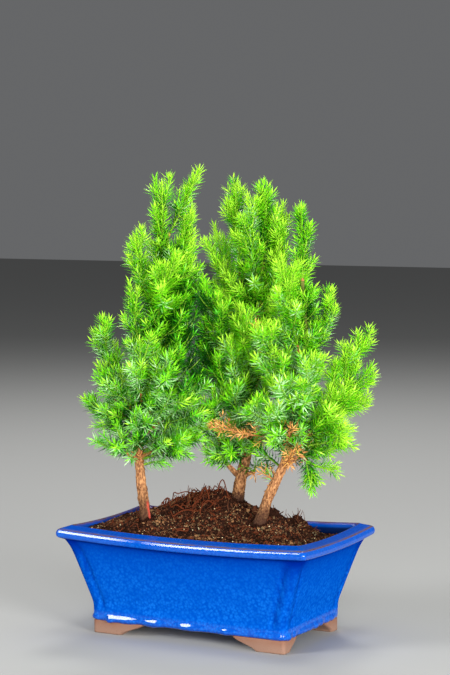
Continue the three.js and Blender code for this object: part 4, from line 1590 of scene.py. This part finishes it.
@dataclass(frozen=True)
class TintRule:
    """How needles get their tints: by a freshness from their place on the spray and in the crown, lowered as
    painted shade in the hollow and inside the crown.
    """

    crown: tuple[float, float] = (130.0, 320.0)  # heights over which sprays turn fresher
    by_share: float = 0.95  # fresher towards the spray's tip, where the new growth is; darker at its foot as painted shade
    by_height: float = 0.56
    start: float = -0.26
    right: tuple[float, float] = (62.0, 95.0)  # where the fresh sprays of the right side start and are full
    by_right: float = 0.4
    right_fade: float = 0.6  # how that falls with height
    middle: tuple[float, float] = (15.0, 60.0)
    by_middle: float = 0.1
    across: tuple[float, float] = (0.886, 0.463)  # direction across the hollow between the trees, which is painted in shade
    hollow: float = -16.0
    hollow_half: float = 15.0
    hollow_foot: tuple[float, float] = (172.0, 192.0)
    hollow_top: tuple[float, float] = (245.0, 272.0)
    # painted shade in the hollow between the trees
    shade_in_hollow: float = 0.75
    shade_inside: float = 0.45  # painted shade inside the crown, near the trunk
    spray_stray: float = 0.16
    needle_stray: float = 0.12
    steps: tuple[tuple[NeedleTint, float], ...] = (
        (NeedleTint.LEAF, 0.13), (NeedleTint.FRESH, 0.35), (NeedleTint.NEW, 0.77),
    )  # freshness from which each tint takes over from DEEP
    front: tuple[float, float] = (40.0, 70.0)  # where the paler sprays of the front start and are full
    front_top: tuple[float, float] = (185.0, 230.0)
    pale_top: tuple[float, float] = (160.0, 270.0)  # heights over which pale sprays grow rare
    pale: tuple[float, float, float] = (0.62, 0.22, 0.04)  # chance low down, more at the front, and anywhere
    pale_until: float = 0.8  # share of a spray that is pale
    pale_needles: float = 0.7
    silver: tuple[float, float] = (0.25, 0.25)  # share of pale needles, and more at the front


@dataclass
class Tree:
    """One juniper's foliage: stems, side shoots and twigs by the rule, with needles in whorls of three."""

    name: str
    limbs: dict[str, LimbShape]
    masses: dict[str, tuple[int, Branching]]  # order in the source, and where each mass leaves its limb
    rule: GrowthRule = field(default_factory=GrowthRule)
    on_limbs: TwigRule = TwigRule(3.0, 0.0, 0.94, 23.0, 0.8, 0.4, 0.6)
    sides_more: TwigRule = TwigRule(11.0, 0.16, 0.78, 24.0, 0.55, 0.6, 0.55)
    on_stems: TwigRule = TwigRule(6.5, 0.08, 0.86, 16.0, 0.5, 0.5, 0.45)
    on_sides: TwigRule = TwigRule(8.0, 0.1, 0.86, 13.0, 0.45, 0.5, 0.4)
    droop: float = -0.15  # lift of twigs at the crown's foot
    lowest_on_limb: float = 130.0
    middle: tuple[float, float] = (10.0, 10.0)  # of the group, where limb twigs reach furthest
    inward: float = 0.55
    trim: float = 4.5  # bare end of the source's shoots, which their last needles fill
    woody: float = 0.35  # share of a stem that is brown
    shade: float = 17.0  # how far from its trunk the painted shade on the needles reaches
    needle: float = 8.6
    needle_width: float = 0.98
    whorl: float = 1.25
    reach: tuple[float, float] = (113.0, 79.0)
    lowest: float = 98.0
    sprigs: tuple[Branching, ...] = ()  # single short sprays on bare wood
    tints: TintRule = field(default_factory=TintRule)
    foot: tuple[float, float] = (125.0, 175.0)  # heights over which twigs stop drooping
    spread: tuple[float, float] = (66.0, 34.0)  # a needle's angle to its shoot, at its foot and its tip
    margin: float = 4.0  # how far twigs end within the reach

    def branch(
        self, root: Array, ahead: Array, turn: Array, size: Array, rule: TwigRule, fill: Array
    ) -> Shoots:
        """Twigs from roots on a parent, within the crown's reach and drooping at its foot.

        Args:
            root: where each leaves its parent.
            ahead: the parent's heading there.
            turn: the angle round the parent.
            size: the twig's length.
            rule: its slant, lift and radius.
            fill: length of its own finer twigs, against their rule.

        Returns:
            The twigs that end within the reach.
        """
        lift = lerp(self.droop, rule.lift, smoothstep(root[:, 2], *self.foot))
        ends = self.rule.sprout(root, ahead, turn, size, np.full(len(root), rule.slant), lift)
        made = Shoots(root, *ends, np.full(len(root), rule.thick), fill)
        near = (np.abs(made.tip[:, :2]) < np.array(self.reach) - self.margin).all(axis=1)
        return made.pick(near & (made.tip[:, 2] > self.lowest))

    def twigs(self, parents: Shoots, rule: TwigRule, rng: np.random.Generator) -> Shoots:
        """Finer twigs along parent shoots, shorter towards the parents' tips.

        Args:
            parents: what they grow on.
            rule: their spacing, length and slant.
            rng: where their stray comes from.

        Returns:
            The twigs.
        """
        length = parents.length
        counts = np.maximum(1, np.round(length * (rule.last - rule.first) / rule.spacing)).astype(int)
        owner, rank = shared_out(counts)
        share = lerp(rule.first, rule.last, (rank + rng.random(len(owner))) / counts[owner])
        phase = rng.uniform(0, TURN, parents.count)
        turn = phase[owner] + rank * GOLDEN_ANGLE + rng.normal(0, 0.2, len(owner))
        fill = parents.fill[owner]
        full = rule.length * fill * rng.uniform(0.75, 1.2, len(owner))
        size = np.minimum(full, 4 + 0.75 * length[owner] * (1 - share))
        return self.branch(parents.at(owner, share), parents.heading(owner, share), turn, size, rule, fill)

    def limb_twigs(self, limb: LimbShape, rng: np.random.Generator) -> Shoots:
        """Leafy twigs on a limb itself above its bare foot, longest where they reach into the group.

        Args:
            limb: the trunk or bough.
            rng: where their stray comes from.

        Returns:
            The twigs.
        """
        rule = self.on_limbs
        count = int(limb.path.length / rule.spacing)
        share = lerp(rule.first, rule.last, (np.arange(count) + rng.random(count)) / count)
        share = share[limb.path.at(share)[:, 2] > self.lowest_on_limb]
        turn = np.arange(len(share)) * GOLDEN_ANGLE + rng.normal(0, 0.3, len(share))
        root, ahead = limb.path.at(share), limb.path.heading(share)
        out = around(ahead, turn)
        towards = (np.array(self.middle) - root[:, :2]) / 40
        pull = np.clip((out[:, :2] * towards).sum(axis=1), -0.8, 1.2)
        left = limb.path.length * (1 - share)
        size = np.minimum(rule.length * (1 + self.inward * pull), 12 + 0.5 * left)
        return self.branch(root, ahead, turn, size, rule, np.ones(len(root)))

    def grow(self, rng: np.random.Generator) -> tuple[Shoots, Shoots]:
        """Grows the crown from its limbs.

        Args:
            rng: where the finer twigs' stray comes from.

        Returns:
            The brown feet of the stems, and every green shoot and twig from there on.
        """
        pairs = [self.rule.sides(mass, self.limbs, order) for order, mass in self.masses.values()]
        stems = Shoots.joined([stem for stem, _ in pairs])
        stems = stems.part(0.0, 1 - self.trim / stems.length, self.rule.stem_root)
        sides = Shoots.joined([side for _, side in pairs])
        sides = sides.part(0.0, 1 - self.trim / sides.length, self.rule.side_root)
        own = [limb for name, limb in self.limbs.items() if name.split("_")[1] == self.name]
        lone = [sprig.shoot(self.limbs, self.rule.side_root) for sprig in self.sprigs]
        added = self.twigs(stems, self.sides_more, rng)
        more = Shoots.joined([sides, added, *(self.limb_twigs(limb, rng) for limb in own), *lone])
        fine = Shoots.joined([self.twigs(stems, self.on_stems, rng), self.twigs(more, self.on_sides, rng)])
        woody = self.woody * lerp(1.0, 0.12, smoothstep(stems.root[:, 2], 175.0, 230.0))
        brown = stems.part(0.0, woody, self.rule.stem_root)
        green = stems.part(woody, 1.0, self.rule.stem_root * 0.6)
        return brown, Shoots.joined([green, more, fine])

    def needles(self, shoots: Shoots, bare: float, rng: np.random.Generator) -> tuple[Array, Array, Array]:
        """Needles along shoots, in whorls of three, each whorl turned a sixth of a turn from the last.

        A needle leans forward more the nearer the tip it stands: its angle to the shoot falls from 66 to 34
        degrees. It is a slim closed form of five points: base, two edges, a keel and the tip.

        Args:
            shoots: what they grow on.
            bare: share of each shoot below its first needles.
            rng: where their stray comes from.

        Returns:
            Points by needle and corner, the shoot that each grows on, and how far up it each stands.
        """
        whorls = np.maximum(2, np.round(shoots.length * (1 - bare) / self.whorl)).astype(int)
        owner, rank = shared_out(3 * whorls)
        step, place = np.divmod(rank, 3)
        up = (step + rng.uniform(0.1, 0.9, len(owner))) / whorls[owner]
        share = bare + (1 - bare) * np.clip(up, 0, 1)
        phase = rng.uniform(0, TURN, shoots.count)[owner]
        turn = phase + place * np.radians(120) + step * np.radians(60) + rng.normal(0, 0.12, len(owner))
        base, ahead = shoots.at(owner, share), shoots.heading(owner, share)
        out = around(ahead, turn)
        lean = np.radians(lerp(*self.spread, share**2.6) + rng.normal(0, 4, len(owner)))[:, None]
        along = unit(ahead * np.cos(lean) + out * np.sin(lean))
        keel = unit(out * np.cos(lean) - ahead * np.sin(lean))
        edge = np.cross(along, keel)
        length = (self.needle * (1 - 0.3 * share**3) * rng.uniform(0.9, 1.1, len(owner)))[:, None]
        half = 0.5 * self.needle_width * rng.uniform(0.85, 1.15, len(owner))[:, None]
        middle = base + along * length * 0.4 + keel * length * 0.03
        tip = base + along * length - keel * length * 0.05
        corners = [base, middle + edge * half, middle + keel * half * 0.6, middle - edge * half, tip]
        points = np.stack(corners, axis=1)
        near = (np.abs(tip[:, :2]) < np.array(self.reach)).all(axis=1)
        inside = near & (tip[:, 2] > self.lowest - self.margin)
        return points[inside], owner[inside], share[inside]

    def deal(self, points: Array, owner: Array, share: Array, rng: np.random.Generator) -> Array:
        """Deals a tint to each needle: new growth at the tips, glaucous sprays low down, and the darkest
        green as painted shade inside the crown and in the hollow.

        Args:
            points: the needles' points.
            owner: the spray that each is on.
            share: how far up it each stands.
            rng: where chance comes from.

        Returns:
            The number of each needle's tint.
        """
        rule = self.tints
        sprays = owner.max() + 1
        mood = rng.normal(0, rule.spray_stray, sprays)[owner]
        x, y, z = points[:, 0].T
        high = smoothstep(z, *rule.crown)
        # Painted shade in the hollow between the trees.
        between = smoothstep(z, *rule.hollow_foot)
        hollow = bell(points[:, 0, :2] @ rule.across, rule.hollow, rule.hollow_half) * between
        hollow = hollow * (1 - smoothstep(z, *rule.hollow_top))
        aside = x + 0.5 * y
        right = smoothstep(aside, *rule.right)
        on_right = (rule.by_right - rule.right_fade * high) * right
        fresh = rule.by_share * share + rule.by_height * high + on_right
        fresh = fresh + rule.by_middle * smoothstep(aside, *rule.middle) + rule.start
        line = self.limbs[f"trunk_{self.name}"].path.points
        axis = np.column_stack([np.interp(z, line[:, 2], line[:, side]) for side in (0, 1)])
        # Painted shade: needles near the trunk's axis are dealt darker.
        inside = np.exp(-(((points[:, 0, :2] - axis) ** 2).sum(axis=1)) / self.shade**2)
        stray = rng.normal(0, rule.needle_stray, len(z))
        fresh += mood - rule.shade_in_hollow * hollow - rule.shade_inside * inside + stray
        tints = list(NeedleTint)
        dealt = np.full(len(z), tints.index(NeedleTint.DEEP))
        for tint, least in rule.steps:
            dealt[fresh >= least] = tints.index(tint)
        front = smoothstep(x - 2 * y, *rule.front) * (1 - smoothstep(z, *rule.front_top))
        low = 1 - smoothstep(z, *rule.pale_top)
        common, more, anywhere = rule.pale
        chance = (common + more * front) * low * (1 - right) * (1 - hollow) ** 2 + anywhere
        chosen = rng.random(sprays)[owner] < chance
        pale = chosen & (share < rule.pale_until) & (rng.random(len(z)) < rule.pale_needles)
        dealt[pale] = tints.index(NeedleTint.GLAUCOUS)
        silver = rng.random(len(z)) < rule.silver[0] + rule.silver[1] * front
        dealt[pale & silver] = tints.index(NeedleTint.SILVER)
        return dealt

    def build(self, finishes: dict[str, bpy.types.Material], seed: int) -> None:
        """Makes the tree's woody shoots, green twigs and needles, joined by kind and colour.

        Args:
            finishes: materials by name.
            seed: of its stray.
        """
        rng = np.random.default_rng(seed)
        brown, green = self.grow(rng)
        nodes = list(self.masses)
        brown.tubes(7, 7, 0.6).piece(f"shoots_{self.name}", finishes["woody"], "bark", nodes)
        green.tubes(5, 5, 0.5).piece(f"twigs_{self.name}", finishes["green"], "needles", nodes)
        old, young = self.needles(brown, 0.3, rng), self.needles(green, 0.06, rng)
        points, sprays, share = (np.concatenate(pair) for pair in zip(old, young))
        sprays[len(old[1]) :] += brown.count
        dealt = self.deal(points, sprays, share, rng)
        for number, tint in enumerate(NeedleTint):
            chosen = points[dealt == number]
            if len(chosen):
                name = f"needles_{self.name}_{tint.name.lower()}"
                needle_surface(chosen).piece(name, finishes[tint.name], "needles", nodes, smooth=False)


def needle_surface(points: Array) -> Surface:
    """Joins needles of five points each: three faces from the base to its ring and three on to the tip."""
    faces = np.array([[0, 2, 1], [0, 3, 2], [0, 1, 3], [4, 1, 2], [4, 2, 3], [4, 3, 1]])
    return repeated(points, faces)


@dataclass
class DeadTwig:
    """The dead twig that crosses in front of the trunks, and dry sprigs inside the crown."""

    limbs: dict[str, LimbShape]
    rule: GrowthRule = field(default_factory=GrowthRule)
    sprigs: tuple[Branching, ...] = branchings(
        ("trunk_right", 0.25, -20, 16, 141, 5), ("trunk_right", 0.28, 10, 18, 150, 5),
        ("trunk_right", 0.31, -60, 16, 156, 5), ("trunk_right", 0.25, -45, 25, 138, 5),
        ("trunk_right", 0.19, -150, 14, 120, 5), ("trunk_right", 0.2, 165, 8, 122, 5),
        ("trunk_middle", 0.2, -30, 12, 136, 5), ("trunk_left", 0.2, -60, 7, 131, 5),
        ("trunk_right", 0.55, -140, 34, 228, 5), ("trunk_middle", 0.62, -60, 14, 240, 5),
    )
    stubs: tuple[Branching, ...] = branchings(
        ("bough_middle_snag", 0.4, -70, 4, 106, 1), ("bough_middle_snag", 0.75, -20, 5, 108, 1),
        ("trunk_middle", 0.06, 150, 4, 108, 1), ("trunk_middle", 0.13, -40, 5, 119, 1),
        ("trunk_right", 0.12, 175, 4, 105, 1), ("trunk_right", 0.15, -120, 4, 110, 1),
        ("trunk_right", 0.2, -15, 4, 118, 1),
    )

    twigs: TwigRule = TwigRule(6.0, 0.2, 0.95, 9.0, 0.7, 0.6, 0.35)
    sprig_root: float = 0.7
    stub_root: float = 0.8
    thickest: float = 0.9
    dry: float = 0.4  # share of the needles that is darker

    def build(self, finishes: dict[str, bpy.types.Material], seed: int) -> None:
        """Makes the dead wood and its needles.

        Args:
            finishes: materials by name.
            seed: of its stray.
        """
        nodes = ["dead_twig"]
        rng = np.random.default_rng(seed)
        stem, sides = self.rule.sides(DEAD_TWIG, self.limbs, len(MASSES))
        sprigs = [sprig.shoot(self.limbs, self.sprig_root) for sprig in self.sprigs]
        stubs = [stub.shoot(self.limbs, self.stub_root) for stub in self.stubs]
        wood = Shoots.joined([stem, sides, *sprigs])
        wood.thick = np.minimum(wood.thick, self.thickest)
        shoots = Shoots.joined([wood, *stubs]).tubes(9, 6, 0.35)
        shoots.piece("dead_shoots", finishes["woody"], "bark", nodes)
        tree = Tree("dead", self.limbs, {}, whorl=2.4, needle=6.4, needle_width=0.8)
        twigs = tree.twigs(wood, self.twigs, rng)
        points = np.concatenate([tree.needles(wood, 0.15, rng)[0], tree.needles(twigs, 0.1, rng)[0]])
        dry = rng.random(len(points)) < self.dry
        for tint, chosen in ((NeedleTint.DEAD, ~dry), (NeedleTint.DRY, dry)):
            needles = needle_surface(points[chosen])
            name = f"needles_{tint.name.lower()}"
            needles.piece(name, finishes[tint.name], "dead_needles", nodes, smooth=False)


@dataclass(frozen=True)
class SoftBox:
    """A square studio light that faces a point."""

    name: str
    place: tuple[float, float, float]
    size: float
    power: float
    aim: tuple[float, float, float] = (0.0, 0.0, 0.17)

    def build(self) -> None:
        """Hangs the light, in metres and watts."""
        lamp = bpy.data.lights.new(self.name, "AREA")
        lamp.shape, lamp.size, lamp.energy = "SQUARE", self.size, self.power
        made = bpy.data.objects.new(self.name, lamp)
        made.location = self.place
        made.rotation_mode = "QUATERNION"
        made.rotation_quaternion = (Vector(self.aim) - Vector(self.place)).to_track_quat("-Z", "Y")
        bpy.context.scene.collection.objects.link(made)


@dataclass
class Studio:
    """Pale floor, soft lights and the camera at the photograph's angle."""

    azimuth: float = 27.6
    elevation: float = 4.43
    distance: float = 1461.6
    aside: float = 6.57  # the camera's aim, to the right of the pot's middle
    above: float = 217.5
    focal: float = 2000.0  # in pixels of a picture 675 high
    picture_height: float = 675.0
    sensor: float = 36.0
    floor_half: float = 6000.0
    floor_colour: str = "#a8a8a6"
    sky: str = "#f1f3f6"
    sky_strength: float = 0.15
    boxes: tuple[SoftBox, ...] = (
        SoftBox("key", (-0.95, -1.25, 0.8), 0.55, 20.0),
        SoftBox("side", (1.4, -0.75, 0.32), 0.6, 38.0),
        SoftBox("top", (0.1, 0.1, 1.6), 0.6, 9.0),
        SoftBox("rim", (-0.5, 1.2, 1.5), 0.5, 15.0),
        SoftBox("front", (0.75, -1.5, 0.48), 0.7, 18.0),
    )

    def floor(self) -> None:
        """A level floor with a fine tooth, like painted board."""
        h = self.floor_half
        corners = np.array([[-h, -h, 0], [h, -h, 0], [h, h, 0], [-h, h, 0]], float)
        mesh = bpy.data.meshes.new("studio_floor")
        mesh.from_pydata((corners * MM).tolist(), [], [[0, 1, 2, 3]])
        mesh.materials.append(PlainTint("pale painted board", self.floor_colour, 0.9, 0.0).material())
        board = bpy.data.objects.new("studio_floor", mesh)
        bpy.context.scene.collection.objects.link(board)

    def camera(self) -> None:
        """The camera, from azimuth, elevation and distance round its aim."""
        turn, rise = np.radians([self.azimuth, self.elevation])
        back = Vector((np.sin(turn) * np.cos(rise), -np.cos(turn) * np.cos(rise), np.sin(rise)))
        right = Vector((np.cos(turn), np.sin(turn), 0))
        aim = right * self.aside + Vector((0, 0, self.above))
        eye = bpy.data.objects.new("camera", bpy.data.cameras.new("camera"))
        eye.data.sensor_width = self.sensor
        eye.data.lens = self.focal / self.picture_height * self.sensor
        eye.data.clip_start, eye.data.clip_end = 0.05, 50
        eye.location = (aim + back * self.distance) * MM
        eye.rotation_mode = "QUATERNION"
        eye.rotation_quaternion = (-back).to_track_quat("-Z", "Y")
        bpy.context.scene.collection.objects.link(eye)
        bpy.context.scene.camera = eye

    def build(self) -> None:
        """Sets up the studio."""
        scene = bpy.context.scene
        scene.view_settings.view_transform = "Standard"
        scene.world = bpy.data.worlds.new("soft sky")
        scene.world.use_nodes = True
        sky = scene.world.node_tree.nodes["Background"]
        plug(sky, {"Color": srgb(self.sky), "Strength": self.sky_strength})
        self.floor()
        self.camera()
        for box in self.boxes:
            box.build()


def main() -> None:
    """Builds the bonsai from the ground up."""
    logging.basicConfig(level=logging.INFO, format="%(name)s: %(message)s")
    Studio().build()
    GlazedPot().build()
    ClayFeet().build()
    PeatBed().build()
    limbs = Limbs()
    shapes = limbs.plan()
    limbs.build()
    tints = [PlainTint(f"juniper needle {tint.name.lower()}", tint.value, 0.42) for tint in NeedleTint]
    finishes = {tint.name: plain.material() for tint, plain in zip(NeedleTint, tints)}
    finishes["woody"] = PlainTint("juniper twig bark", "#a9713f", 0.75).material()
    finishes["green"] = PlainTint("juniper green twig", "#7fae2a", 0.6).material()
    orders = {mass: (order, spec) for order, (mass, spec) in enumerate(MASSES.items())}
    for seed, name in enumerate(CROWNS, start=TREE_SEED):
        masses = {mass: pair for mass, pair in orders.items() if mass.startswith(f"foliage_{name}")}
        Tree(name, shapes, masses, sprigs=SPRIGS[name]).build(finishes, seed)
    DeadTwig(shapes).build(finishes, DEAD_SEED)
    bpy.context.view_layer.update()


if __name__ == "__main__":
    main()
